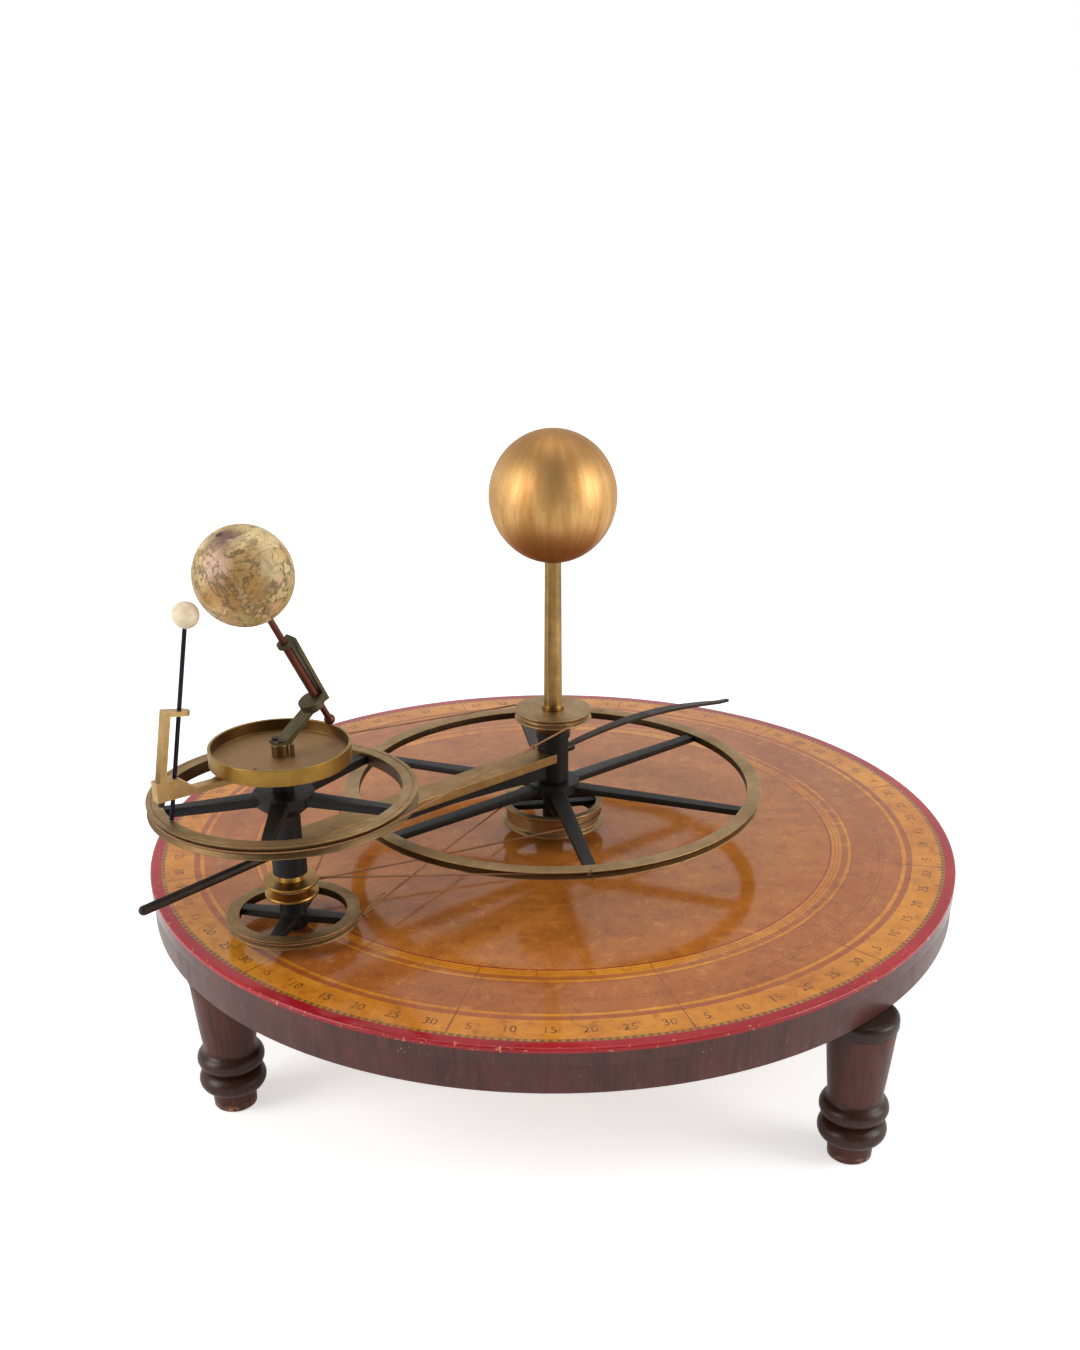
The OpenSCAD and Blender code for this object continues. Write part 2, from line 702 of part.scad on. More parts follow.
module ring_wheel_spider() {
    foot_r = 10.5;
    bore = ring_neck_r + run_gap;
    foot_z = ring_seat_z + turn_gap;
    cone_h = ring_spoke_z - foot_z;
    color([0.13, 0.14, 0.14]) at_post(0, 0) {
        spider(ring_r - ring_rim_w, ring_hub_r, ring_spoke_z, ring_hub_h - cone_h,
            ring_spoke_z, ring_spoke_t, ring_spokes, ring_spoke_az, 13, 6, bore);
        translate([0, 0, foot_z]) difference() {
            cylinder(r1 = foot_r, r2 = ring_hub_r, h = cone_h);
            translate([0, 0, -1]) cylinder(r = bore, h = cone_h + 2);
        }
    }
}

// The earth's drive

module lower_wheel_rim() {
    color([0.58, 0.45, 0.26]) at_post(low_rim_z) grooved_rim(low_r, low_rim_w, low_rim_h, low_groove_d, 0.8);
}

module lower_wheel_spider() {
    color([0.13, 0.14, 0.14]) at_post(0, 0) spider(low_r - low_rim_w, low_hub_r, low_hub_z, low_hub_h,
        low_rim_z + 0.5, low_spoke_t, low_spokes, low_spoke_az, 12, 7, spindle_r + seat_gap);
}

module earth_spindle() {
    color([0.40, 0.38, 0.35]) at_post(low_hub_z) cylinder(r = spindle_r, h = spindle_top - low_hub_z);
}

module tray() {
    hole_r = 1.8;
    hole_reach = 27;
    hole_az = 20;
    color([0.66, 0.50, 0.25]) at_post(tray_z) difference() {
        union() {
            cylinder(r = tray_r, h = tray_h);
            translate([0, 0, -1.6]) cylinder(r = boss_r + 2, h = 2);
        }
        translate([0, 0, tray_floor]) cylinder(r = tray_r - tray_wall, h = tray_h);
        translate([0, 0, -5]) cylinder(r = spindle_r + seat_gap, h = 20);
        rotate([0, 0, hole_az]) translate([hole_reach, 0, -5]) cylinder(r = hole_r, h = 20, $fn = 48);
    }
}

module at_bracket_screws() {
    for (s = [-3.4, 3.4]) translate([1, s, 0]) children();
}

module tray_boss() {
    color([0.60, 0.47, 0.25]) at_post(tray_z + tray_floor + seat_gap) difference() {
        cylinder(r = boss_r, h = boss_top - tray_z - tray_floor - seat_gap);
        translate([0, 0, -1]) cylinder(r = spindle_r + seat_gap, h = spindle_top - tray_z - tray_floor + 1);
        translate([0, 0, boss_top - tray_z - tray_floor - 4])
            at_bracket_screws() cylinder(r = bracket_screw_r + seat_gap, h = 10, $fn = 32);
    }
}

module tray_peg() {
    peg_r = 1.6;
    color([0.55, 0.42, 0.22]) at_post(tray_z + tray_floor + seat_gap)
        translate([-boss_r, peg_r + 4, 0])
            cylinder(r = peg_r, h = boss_top - tray_z - tray_floor - seat_gap, $fn = 32);
}

// Place things along the globe's axis: d is the distance below the globe's centre
module on_axis(d = 0) {
    at_post() translate([globe_s, 0, globe_z]) rotate([0, tilt, 0]) translate([0, 0, -d]) children();
}

// The bent bracket: foot on the boss, leg up to the thick lower lug, leaning strip and upper lug
module tilt_bracket() {
    w = bracket_w;
    back_low = pin_sleeve_r + 0.6;
    back_high = pin_sleeve_r + 1.7;
    low_lug_r = 8;
    low_lug_s = 5;
    top_lug_r = 5;
    leg_s = [-5.5, -1.4];
    foot_z = boss_top + seat_gap;
    knee = [globe_s - low_lug_d * sin(tilt), globe_z - low_lug_d * cos(tilt)];
    along = [sin(tilt), cos(tilt)];
    across = [-cos(tilt), sin(tilt)];
    leg_low = knee - (low_lug_s - 1) * across + 0.5 * along;
    leg_high = knee - (low_lug_s + low_lug_r - 2.5) * across + 1.5 * along;
    low_back = knee + back_low * across;
    high_back = knee + back_high * across + (low_lug_d - top_lug_d + lug_t) * along;
    color([0.40, 0.36, 0.24]) difference() {
        union() {
            at_post(foot_z) translate([leg_s[0], -w / 2, 0]) cube([boss_r - 1 - leg_s[0], w, bracket_t]);
            at_post() translate([0, w / 2, 0]) rotate([90, 0, 0]) linear_extrude(w) {
                polygon([[leg_s[0], foot_z], [leg_s[1], foot_z], [leg_s[1], foot_z + bracket_t],
                    leg_high, leg_low]);
                polygon([low_back, low_back + bracket_t * across,
                    high_back + bracket_t * across, high_back]);
            }
            on_axis(low_lug_d) {
                translate([low_lug_s, 0, 0]) cylinder(r = low_lug_r, h = low_lug_t);
                translate([-back_low - bracket_t / 2, 0.4 - w / 2, 0])
                    cube([back_low + bracket_t / 2 + low_lug_s, w - 0.8, low_lug_t]);
            }
            on_axis(top_lug_d) {
                cylinder(r = top_lug_r, h = lug_t);
                translate([-back_high - bracket_t / 2, 0.5 - top_lug_r, 0])
                    cube([back_high + bracket_t / 2, 2 * top_lug_r - 1, lug_t]);
            }
        }
        on_axis(low_lug_d + 10) cylinder(r = pin_r + run_gap, h = 80);
        on_axis(low_lug_d - low_lug_t - seat_gap)
            cylinder(r = pin_sleeve_r + turn_gap, h = low_lug_d - top_lug_d - low_lug_t);
        at_post(foot_z - 1) at_bracket_screws() cylinder(r = bracket_screw_r + seat_gap, h = 10, $fn = 32);
    }
}

module bracket_screws() {
    color([0.20, 0.17, 0.13]) at_post(boss_top + bracket_t + 2 * seat_gap)
        at_bracket_screws() {
            translate([0, 0, -bracket_t - 3.6])
                cylinder(r = bracket_screw_r, h = bracket_t + 3.8, $fn = 32);
            difference() {
                cylinder(r = 2.2, h = 1.2, $fn = 32);
                translate([-3, -0.3, 0.7]) cube([6, 0.6, 1]);
            }
        }
}

// The moon's drive

module moon_pulley() {
    lip = 1.8;
    color([0.62, 0.47, 0.22]) at_post(moon_pulley_z) difference() {
        union() {
            rotate_extrude() polygon([[0, 0], [moon_flange_r - 0.8, 0], [moon_flange_r - 0.8, lip],
                [moon_groove_r, moon_pulley_h / 2 - cord_r], [moon_groove_r, moon_pulley_h / 2 + cord_r],
                [moon_flange_r, moon_pulley_h - lip], [moon_flange_r, moon_pulley_h], [0, moon_pulley_h]]);
            translate([0, 0, moon_pulley_h]) cylinder(r1 = 8.5, r2 = 7.5, h = moon_neck_h);
        }
        translate([0, 0, -1]) cylinder(r = moon_tube_r + seat_gap, h = 30);
    }
}

module moon_tube() {
    color([0.58, 0.45, 0.25]) at_post(moon_pulley_z)
        bored(moon_tube_r, strip_top - moon_pulley_z, spindle_r + run_gap);
}

// The black hub on the tube, under the brass strip
module moon_hub() {
    color([0.12, 0.12, 0.12]) at_post(moon_hub_z)
        bored(moon_hub_r, strip_z - seat_gap - moon_hub_z, moon_tube_r + seat_gap);
}

// The bent brass strip of the moon: eye on the tube, radial bar, leaning upright and top tab
module moon_arm() {
    foot = [moon_foot_r, ring_top + turn_gap + moon_rod_r * sin(moon_lean)];
    up = [-sin(moon_lean), cos(moon_lean)];
    out = [cos(moon_lean), sin(moon_lean)];
    gap = 7;
    tab_d = 71;
    tab_t = 3;
    tab_over = 3;
    bar_d = 16;
    outer = foot + bar_d * up + (gap + strip_t) * out;
    color([0.68, 0.55, 0.32]) difference() {
        union() {
            at_post(strip_z + turn_gap) cylinder(r = moon_hub_r, h = strip_t - turn_gap / 2);
            at_post(0, moon_az) {
                translate([0, -strip_w / 2, strip_z]) cube([foot[0] + gap + 2, strip_w, strip_t]);
                translate([0, strip_w / 2, 0]) rotate([90, 0, 0]) linear_extrude(strip_w) {
                    polygon([[foot[0] - 17, strip_top], [foot[0] - 6, strip_top + 9],
                        [foot[0] + gap + 2, strip_top + 9], [foot[0] + gap + 2, strip_z],
                        [foot[0] - 17, strip_z]]);
                    polygon([outer, outer - strip_t * out, foot + tab_d * up + gap * out,
                        foot + tab_d * up + (gap + strip_t) * out]);
                }
                translate([foot[0], 0, foot[1]]) rotate([0, -moon_lean, 0])
                translate([-tab_over, 0, tab_d - tab_t]) {
                    cylinder(r = strip_w / 2, h = tab_t, $fn = 64);
                    translate([0, -strip_w / 2, 0]) cube([tab_over + gap + strip_t, strip_w, tab_t]);
                }
            }
        }
        at_post(0, moon_az) translate([foot[0], 0, foot[1]]) rotate([0, -moon_lean, 0])
            cylinder(r = moon_rod_r + run_gap, h = 100, $fn = 64);
        at_post(strip_z - 1) cylinder(r = moon_tube_r + seat_gap, h = strip_t + 2);
    }
}

// The black screw under the outer end of the strip
module moon_arm_pin() {
    color([0.12, 0.12, 0.12]) at_post(strip_z - seat_gap - 4, moon_az) translate([moon_foot_r + 5.5, 0, 0])
        cylinder(r = 2, h = 4, $fn = 48);
}

module moon_line(d = 0) {
    at_post(ring_top + turn_gap + moon_rod_r * sin(moon_lean), moon_az) translate([moon_foot_r, 0, 0])
        rotate([0, -moon_lean, 0]) translate([0, 0, d]) children();
}

module moon_rod() {
    color([0.10, 0.09, 0.12]) moon_line() cylinder(r = moon_rod_r, h = moon_rod_len, $fn = 64);
}

module moon_ball() {
    color([0.88, 0.80, 0.66]) moon_line(moon_rod_len) difference() {
        sphere(r = moon_r);
        translate([0, 0, -moon_r - 1])
            cylinder(r = moon_rod_r + seat_gap, h = moon_r + 1 + seat_gap, $fn = 64);
    }
}

// The globe and its spindle

module globe_spindle() {
    color([0.38, 0.20, 0.14]) {
        on_axis(knob_drop) cylinder(r = pin_r, h = knob_drop);
        on_axis(low_lug_d - low_lug_t - turn_gap)
            cylinder(r = pin_sleeve_r, h = low_lug_d - top_lug_d - low_lug_t - 2 * turn_gap);
    }
}

module spindle_knob() {
    color([0.40, 0.20, 0.14]) on_axis(knob_drop) difference() {
        sphere(r = knob_r);
        cylinder(r = pin_r + seat_gap, h = knob_r + 1);
    }
}

module globe() {
    color([0.76, 0.64, 0.42]) on_axis() difference() {
        sphere(r = globe_r);
        translate([0, 0, -globe_r - 1]) cylinder(r = pin_r + seat_gap, h = globe_r + 1 + seat_gap);
    }
}

table_top();
apron_hoop();
batten_lower();
batten_upper();
leg(0);  // leg_front_right
leg(1);  // leg_front_left
leg(2);  // leg_back_left
leg(3);  // leg_back_right
centre_rod();
rod_nut();
base_pulley_rim();
base_pulley_spider();
hub_spacer();
big_wheel_rim();
big_wheel_spider();
top_pulley();
sun_tube();
sun_ball();
centre_sleeve();
arm_bar();
arm_rib();
date_pointer();
end_sleeve();
arm_handle();
arm_screws();
moon_cord();
earth_cord();
ring_cord();
ring_wheel_rim();
ring_wheel_spider();
lower_wheel_rim();
lower_wheel_spider();
earth_spindle();
tray();
tray_boss();
tray_peg();
tilt_bracket();
bracket_screws();
moon_pulley();
moon_tube();
moon_hub();
moon_arm();
moon_arm_pin();
moon_rod();
moon_ball();
globe_spindle();
spindle_knob();
globe();
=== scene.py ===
"""Finish of a cord-driven sun, earth and moon machine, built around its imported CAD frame. Metres."""

import json
import math

import bmesh
import bpy
import numpy as np
from bpy.props import FloatProperty, FloatVectorProperty, IntProperty, PointerProperty
from mathutils import Matrix, Vector


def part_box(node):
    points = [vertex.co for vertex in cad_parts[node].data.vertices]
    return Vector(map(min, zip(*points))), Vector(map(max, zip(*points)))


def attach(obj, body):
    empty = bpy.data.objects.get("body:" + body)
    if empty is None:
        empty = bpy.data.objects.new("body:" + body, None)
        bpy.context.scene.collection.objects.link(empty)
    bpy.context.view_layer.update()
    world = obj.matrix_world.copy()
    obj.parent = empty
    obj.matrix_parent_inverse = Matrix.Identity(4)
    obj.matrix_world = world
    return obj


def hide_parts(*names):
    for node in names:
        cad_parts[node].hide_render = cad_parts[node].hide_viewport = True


bl_info = {
    "name": "Tellurion finish",
    "version": (1, 0, 0),
    "blender": (4, 5, 0),
    "location": "View3D > Sidebar > Tellurion",
    "description": "Wood, brass, iron, gilding, map and cords of a table-top tellurion",
    "category": "Object",
}

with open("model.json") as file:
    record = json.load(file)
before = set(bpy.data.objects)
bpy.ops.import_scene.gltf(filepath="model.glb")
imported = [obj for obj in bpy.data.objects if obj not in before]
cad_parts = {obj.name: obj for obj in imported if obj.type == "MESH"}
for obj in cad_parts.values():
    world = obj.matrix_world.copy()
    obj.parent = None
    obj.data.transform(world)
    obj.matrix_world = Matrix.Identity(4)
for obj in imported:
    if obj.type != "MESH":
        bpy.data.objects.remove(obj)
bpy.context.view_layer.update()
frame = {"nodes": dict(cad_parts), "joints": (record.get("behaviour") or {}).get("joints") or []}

MM = 0.001
TABLE_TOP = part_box("table_top")[1].z
POST = (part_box("earth_spindle")[0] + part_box("earth_spindle")[1]) / 2
ARM_AZIMUTH = math.atan2(POST.y, POST.x)
ARM_LENGTH = math.hypot(POST.x, POST.y)
COLUMN = (0.0, 0.0)


# Shapes

def fillet(corners, radius, steps=4, sharp=()):
    """Closed outline with rounded corners: each corner P becomes the quadratic curve
    (1-s)^2 A + 2 s (1-s) P + s^2 B, where A and B lie at `radius` from P along its two sides,
    or at 45% of a shorter side. Corners listed in `sharp` stay as they are."""
    p = np.asarray(corners, float)
    reach = np.full(len(p), float(radius))
    reach[list(sharp)] = 0.0
    before, after = np.roll(p, 1, 0) - p, np.roll(p, -1, 0) - p
    length_before, length_after = np.linalg.norm(before, axis=1), np.linalg.norm(after, axis=1)
    start = p + before * (np.minimum(reach, 0.45 * length_before) / length_before)[:, None]
    end = p + after * (np.minimum(reach, 0.45 * length_after) / length_after)[:, None]
    s = np.linspace(0, 1, steps + 1)[None, :, None]
    curve = (1 - s) ** 2 * start[:, None] + 2 * s * (1 - s) * p[:, None] + s ** 2 * end[:, None]
    return curve.reshape(-1, 2)


def grid_faces(rows, columns, wrap_rows, wrap_columns):
    """Quads of a grid of points, joined at its ends where it wraps."""
    i = np.arange(rows if wrap_rows else rows - 1)[:, None]
    j = np.arange(columns if wrap_columns else columns - 1)[None, :]
    a = i * columns + j
    b = i * columns + (j + 1) % columns
    c = ((i + 1) % rows) * columns + (j + 1) % columns
    d = ((i + 1) % rows) * columns + j
    return np.stack([a, b, c, d], -1).reshape(-1, 4)


def make_piece(name, points, faces, body, stands_for=(), finish=None, sharp_angle=40,
               turns=None):
    """A piece from points (n, 3) and faces, closed, with its normals outwards. `turns` is the UV
    map of a cord, the turn round it and the length along it at each point."""
    mesh = bpy.data.meshes.new(name)
    mesh.from_pydata(np.asarray(points).tolist(), [], [list(map(int, f)) for f in faces])
    if turns is not None:
        layer = mesh.uv_layers.new(name="along")
        corners = np.empty(len(mesh.loops), np.int32)
        mesh.loops.foreach_get("vertex_index", corners)
        layer.data.foreach_set("uv", turns[corners].astype(np.float32).ravel())
    work = bmesh.new()
    work.from_mesh(mesh)
    bmesh.ops.remove_doubles(work, verts=work.verts, dist=1e-7)
    bmesh.ops.dissolve_degenerate(work, edges=work.edges, dist=1e-7)
    bmesh.ops.recalc_face_normals(work, faces=work.faces)
    work.to_mesh(mesh)
    work.free()
    return finish_piece(mesh, name, body, stands_for, finish, sharp_angle)


def finish_piece(mesh, name, body, stands_for, finish, sharp_angle=40):
    """Smooth shading up to the given angle, the finish, the body and the replaced CAD nodes."""
    mesh.polygons.foreach_set("use_smooth", np.ones(len(mesh.polygons), bool))
    mesh.set_sharp_from_angle(angle=math.radians(sharp_angle))
    piece = bpy.data.objects.new(name, mesh)
    bpy.context.scene.collection.objects.link(piece)
    if finish:
        mesh.materials.clear()
        mesh.materials.append(finish_of(finish))
    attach(piece, body)
    if stands_for:
        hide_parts(*stands_for)
    return piece


def lathe(profile, centre=(0.0, 0.0), steps=128):
    """Solid of revolution: the outline point (r, z) goes to (cx + r cos a, cy + r sin a, z)."""
    outline = np.asarray(profile, float)
    a = np.linspace(0, 2 * math.pi, steps, endpoint=False)
    r, z = outline[:, 0][:, None], outline[:, 1][:, None]
    points = np.stack([centre[0] + r * np.cos(a), centre[1] + r * np.sin(a), z + 0 * a], -1)
    return points.reshape(-1, 3), grid_faces(len(outline), steps, True, True)


def ball(radius_xy, radius_z, centre, rows, columns):
    """Ellipsoid: (u, v) goes to centre + (a sin v cos u, a sin v sin u, c cos v)."""
    v = np.linspace(0, math.pi, rows)[:, None]
    u = np.linspace(0, 2 * math.pi, columns, endpoint=False)[None, :]
    points = np.stack([radius_xy * np.sin(v) * np.cos(u), radius_xy * np.sin(v) * np.sin(u),
                       radius_z * np.cos(v) + 0 * u], -1)
    return points + np.asarray(centre), grid_faces(rows, columns, False, True)


def node_ball(node, rows, columns):
    """Centre of a CAD node's box, and the points and faces of the ellipsoid that fills the box."""
    low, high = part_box(node)
    centre = (low + high) / 2
    return centre, *ball((high.x - low.x) / 2, (high.z - low.z) / 2, centre, rows, columns)


def turned(points, angle):
    """Points turned about the vertical: (x cos a - y sin a, x sin a + y cos a, z)."""
    c, s = math.cos(angle), math.sin(angle)
    return np.stack([c * points[:, 0] - s * points[:, 1], s * points[:, 0] + c * points[:, 1],
                     points[:, 2]], -1)


def sweep(path, radius, sides=9, lobes=0, lobe_depth=0.0, pitch=1.0, closed=False, taper=None):
    """Tube along a path: at each point the ring r(t) (cos t side + sin t up), where r(t) is
    radius (1 + depth cos(lobes (t - 2 pi s / pitch))) and s the length so far, so the lobes
    lie as the strands of a twisted string. Returns points, faces and (turn, length) per point."""
    path = np.asarray(path, float)
    if closed:
        tangent = np.roll(path, -1, 0) - np.roll(path, 1, 0)
        steps = np.linalg.norm(np.roll(path, -1, 0) - path, axis=1)
    else:
        tangent = np.gradient(path, axis=0)
        steps = np.append(np.linalg.norm(np.diff(path, axis=0), axis=1), 0)
    tangent /= np.linalg.norm(tangent, axis=1)[:, None]
    upright = np.where(np.abs(tangent[:, 2:3]) < 0.95, [[0.0, 0.0, 1.0]], [[1.0, 0.0, 0.0]])
    side = np.cross(upright, tangent)
    side /= np.linalg.norm(side, axis=1)[:, None]
    up = np.cross(tangent, side)
    s = np.concatenate([[0], np.cumsum(steps)[:-1]])[:, None]
    if closed and lobes:
        total = steps.sum()
        pitch = total / round(total / pitch)
    t = np.linspace(0, 2 * math.pi, sides, endpoint=False)[None, :]
    r = radius * (1 + lobe_depth * np.cos(lobes * (t - 2 * math.pi * s / pitch)))
    if taper is not None:
        r = r * np.asarray(taper)[:, None]
    points = path[:, None] + r[..., None] * (np.cos(t)[..., None] * side[:, None]
                                             + np.sin(t)[..., None] * up[:, None])
    turns = np.stack([t / (2 * math.pi) + 0 * s, s + 0 * t], -1).reshape(-1, 2)
    faces = [list(f) for f in grid_faces(len(path), sides, closed, True)]
    if not closed:
        faces += [list(range(sides))[::-1], list(range((len(path) - 1) * sides, len(path) * sides))]
    return points.reshape(-1, 3), faces, turns


def dressed_node(node, body, finish, edge):
    """Copy of a CAD node with merged faces and softly broken edges, in place of the node."""
    mesh = frame["nodes"][node].data.copy()
    mesh.name = node + "_dressed"
    work = bmesh.new()
    work.from_mesh(mesh)
    bmesh.ops.remove_doubles(work, verts=work.verts, dist=2e-6)
    bmesh.ops.dissolve_limit(work, angle_limit=math.radians(0.6), verts=work.verts, edges=work.edges)
    work.to_mesh(mesh)
    work.free()
    piece = finish_piece(mesh, node + "_dressed", body, (node,), finish, 35)
    if edge:
        bevel = piece.modifiers.new("broken edges", "BEVEL")
        bevel.width = edge
        bevel.segments = 2
        bevel.limit_method = "ANGLE"
        bevel.angle_limit = math.radians(38)


def dress(body, rows):
    """Dress several nodes of one body; a row is (node, slot, finish, edge in millimetres). The slot is not
    used.
    """
    for node, slot, finish, edge in rows:
        dressed_node(node, body, finish, edge * MM)


# Shader building

class Wiring:
    """Short words for adding nodes to a shader tree. A value may be a number, a colour or a socket."""

    def __init__(self, tree):
        self.tree = tree

    def put(self, socket, value):
        """Link a socket, set anything else as the default, and leave the socket alone for None."""
        if isinstance(value, bpy.types.NodeSocket):
            self.tree.links.new(value, socket)
        elif value is not None:
            socket.default_value = value

    def node(self, kind, inputs=None, **settings):
        """A node with the given settings, and its inputs by name or number."""
        made = self.tree.nodes.new(kind)
        for key, value in settings.items():
            setattr(made, key, value)
        for key, value in (inputs or {}).items():
            self.put(made.inputs[key], value)
        return made

    def math(self, operation, a, b=None, c=None, clamp=False):
        """One step of arithmetic."""
        made = self.node("ShaderNodeMath", operation=operation, use_clamp=clamp)
        for socket, value in zip(made.inputs, (a, b, c)):
            self.put(socket, value)
        return made.outputs[0]

    def between(self, value, low, high, soft):
        """1 where value lies between low and high, with soft edges."""
        return self.math("MULTIPLY", self.ramp_up(value, low - soft, low + soft),
                         self.ramp_up(value, high + soft, high - soft))

    def ramp_up(self, value, low, high):
        """0 at low to 1 at high, or falling where low is above high."""
        made = self.node("ShaderNodeMapRange", {"Value": value}, clamp=True)
        down = low > high
        self.put(made.inputs["From Min"], min(low, high))
        self.put(made.inputs["From Max"], max(low, high))
        self.put(made.inputs["To Min"], 1.0 if down else 0.0)
        self.put(made.inputs["To Max"], 0.0 if down else 1.0)
        return made.outputs["Result"]

    def mix(self, factor, a, b):
        """Colour a where the factor is 0, b where it is 1."""
        made = self.node("ShaderNodeMix", data_type="RGBA", clamp_factor=True)
        for index, value in ((0, factor), (6, a), (7, b)):
            self.put(made.inputs[index], value)
        return made.outputs[2]

    def times(self, a, b):
        return self.math("MULTIPLY", a, b)

    def tint(self, colour, mask, strength, tone):
        """The colour turned towards the tone where the mask is 1, by the given strength."""
        return self.mix(self.times(mask, strength), colour, tone)

    def from_whole(self, value):
        """Distance to the nearest whole number."""
        return self.math("ABSOLUTE", self.math("SUBTRACT", value, self.math("ROUND", value)))

    def mix_value(self, factor, a, b):
        """Number a where the factor is 0, b where it is 1."""
        made = self.node("ShaderNodeMix", data_type="FLOAT", clamp_factor=True)
        for index, value in ((0, factor), (2, a), (3, b)):
            self.put(made.inputs[index], value)
        return made.outputs[0]

    def noise(self, where, scale, detail=4.0, rough=0.55, warp=0.0):
        """Cloudy noise from 0 to 1, about 0.5 in the middle; scale is in waves per metre."""
        return self.node("ShaderNodeTexNoise", {"Vector": where, "Scale": scale, "Detail": detail,
                                                "Roughness": rough, "Distortion": warp}).outputs["Fac"]

    def split(self, vector):
        """The three coordinates of a vector."""
        return self.node("ShaderNodeSeparateXYZ", {"Vector": vector}).outputs

    def join(self, x, y, z=None):
        return self.node("ShaderNodeCombineXYZ", {"X": x, "Y": y, "Z": z}).outputs[0]

    def between_vectors(self, operation, a, b):
        """DOT_PRODUCT or DISTANCE of two vectors."""
        return self.node("ShaderNodeVectorMath", {0: a, 1: b}, operation=operation).outputs["Value"]

    def place(self, where, shift=(0, 0, 0), turn=(0, 0, 0), scale=(1, 1, 1)):
        """Coordinates scaled, turned and then shifted."""
        return self.node("ShaderNodeMapping", {"Vector": where, "Location": shift, "Rotation": turn,
                                               "Scale": scale}).outputs[0]

    def group(self, name, inputs):
        """Outputs of a shared effect with its own values."""
        made = self.tree.nodes.new("ShaderNodeGroup")
        made.node_tree = shared_effect(name)
        for key, value in inputs.items():
            self.put(made.inputs[key], value)
        return made.outputs

    def patina(self, where, patch_scale, mottle_scale, speck_scale):
        """Masks of slow patches, mottling and specks."""
        return self.group("patina", {"Vector": where, "Patch Scale": patch_scale,
                                     "Mottle Scale": mottle_scale, "Speck Scale": speck_scale})

    def worn_edges(self, where, width, breakup, amount):
        """Mask of rubbed edges."""
        return self.group("worn edges", {"Vector": where, "Width": width, "Breakup": breakup,
                                         "Amount": amount})["Mask"]

    def bump(self, height, strength, distance):
        """Normal of a surface raised by up to the given distance."""
        return self.node("ShaderNodeBump", {"Height": height, "Strength": strength,
                                            "Distance": distance}).outputs[0]

    def mix_shader(self, factor, a, b):
        return self.node("ShaderNodeMixShader", {0: factor, 1: a, 2: b}).outputs[0]


def rgb(red, green, blue):
    """Linear colour of a display colour in 0 to 255."""
    c = np.array([red, green, blue]) / 255
    linear = np.where(c <= 0.04045, c / 12.92, ((c + 0.055) / 1.055) ** 2.4)
    return (*map(float, linear), 1.0)


def from_axis(w, here):
    """Distance from the Z axis, and the three coordinates."""
    split = w.split(here)
    squares = w.math("ADD", w.times(split[0], split[0]), w.times(split[1], split[1]))
    return w.math("SQRT", squares), split


def polar(w, here):
    """Distance from the Z axis, angle round it in turns, and height."""
    radius, split = from_axis(w, here)
    angle = w.math("DIVIDE", w.math("ARCTAN2", split[1], split[0]), 2 * math.pi)
    return radius, angle, split[2]


# Effects that several finishes share, as node groups

def effect_worn_edges(w, inside):
    """Mask of rubbed edges: where a normal rounded over Width departs from the true one."""
    rounded = w.node("ShaderNodeBevel", {"Radius": inside["Width"]}, samples=4).outputs[0]
    true_normal = w.node("ShaderNodeNewGeometry").outputs["Normal"]
    agree = w.between_vectors("DOT_PRODUCT", rounded, true_normal)
    edge = w.ramp_up(w.math("SUBTRACT", 1.0, agree), 0.01, 0.16)
    patchy = w.ramp_up(w.noise(inside["Vector"], inside["Breakup"], 5.0, 0.65), 0.34, 0.62)
    return {"Mask": w.math("MULTIPLY", w.times(edge, patchy), inside["Amount"], clamp=True)}


def effect_patina(w, inside):
    """Slow patches, middle mottling and fine specks of an old surface."""
    patches = w.ramp_up(w.noise(inside["Vector"], inside["Patch Scale"], 5.0, 0.6, 0.6), 0.34, 0.68)
    mottle = w.ramp_up(w.noise(inside["Vector"], inside["Mottle Scale"], 6.0, 0.7), 0.3, 0.72)
    specks = w.ramp_up(w.noise(inside["Vector"], inside["Speck Scale"], 2.0, 0.5), 0.64, 0.74)
    return {"Patches": patches, "Mottle": mottle, "Specks": specks}


def effect_wood_grain(w, inside):
    """Long fibres along X of the given vector, with pores and a slow figure."""
    fibres = w.noise(w.place(inside["Vector"], scale=(1.0, 26.0, 26.0)), inside["Scale"], 6.0, 0.62, 0.25)
    pores = w.noise(w.place(inside["Vector"], scale=(1.6, 60.0, 60.0)), inside["Scale"], 2.0, 0.5)
    figure = w.noise(w.place(inside["Vector"], scale=(1.0, 3.4, 3.4)), inside["Scale"], 3.0, 0.5, 1.2)
    return {"Fibres": w.ramp_up(fibres, 0.3, 0.7), "Pores": w.ramp_up(pores, 0.6, 0.72),
            "Figure": w.ramp_up(figure, 0.32, 0.66)}


def effect_turning_lines(w, inside):
    """Fine rings left by the lathe round the Z axis of the given vector, uneven from ring to ring."""
    radius, split = from_axis(w, inside["Vector"])
    along = w.join(w.times(radius, inside["Lines"]), w.times(split[2], inside["Lines"]))
    return {"Height": w.noise(along, 1.0, 3.0, 0.6)}


def effect_dust(w, inside):
    """Sparse light grains, and a faint film in slow patches."""
    cells = w.node("ShaderNodeTexVoronoi", {"Vector": inside["Vector"], "Scale": inside["Scale"]},
                   feature="F1").outputs["Distance"]
    sparse = w.ramp_up(w.noise(inside["Vector"], inside["Cluster Scale"], 3.0, 0.6), 0.57, 0.66)
    grain = w.times(w.ramp_up(cells, 0.16, 0.08), sparse)
    film = w.ramp_up(w.noise(inside["Vector"], 9.0, 4.0, 0.6), 0.4, 0.75)
    return {"Grains": w.math("MULTIPLY", grain, inside["Amount"], clamp=True), "Film": film}


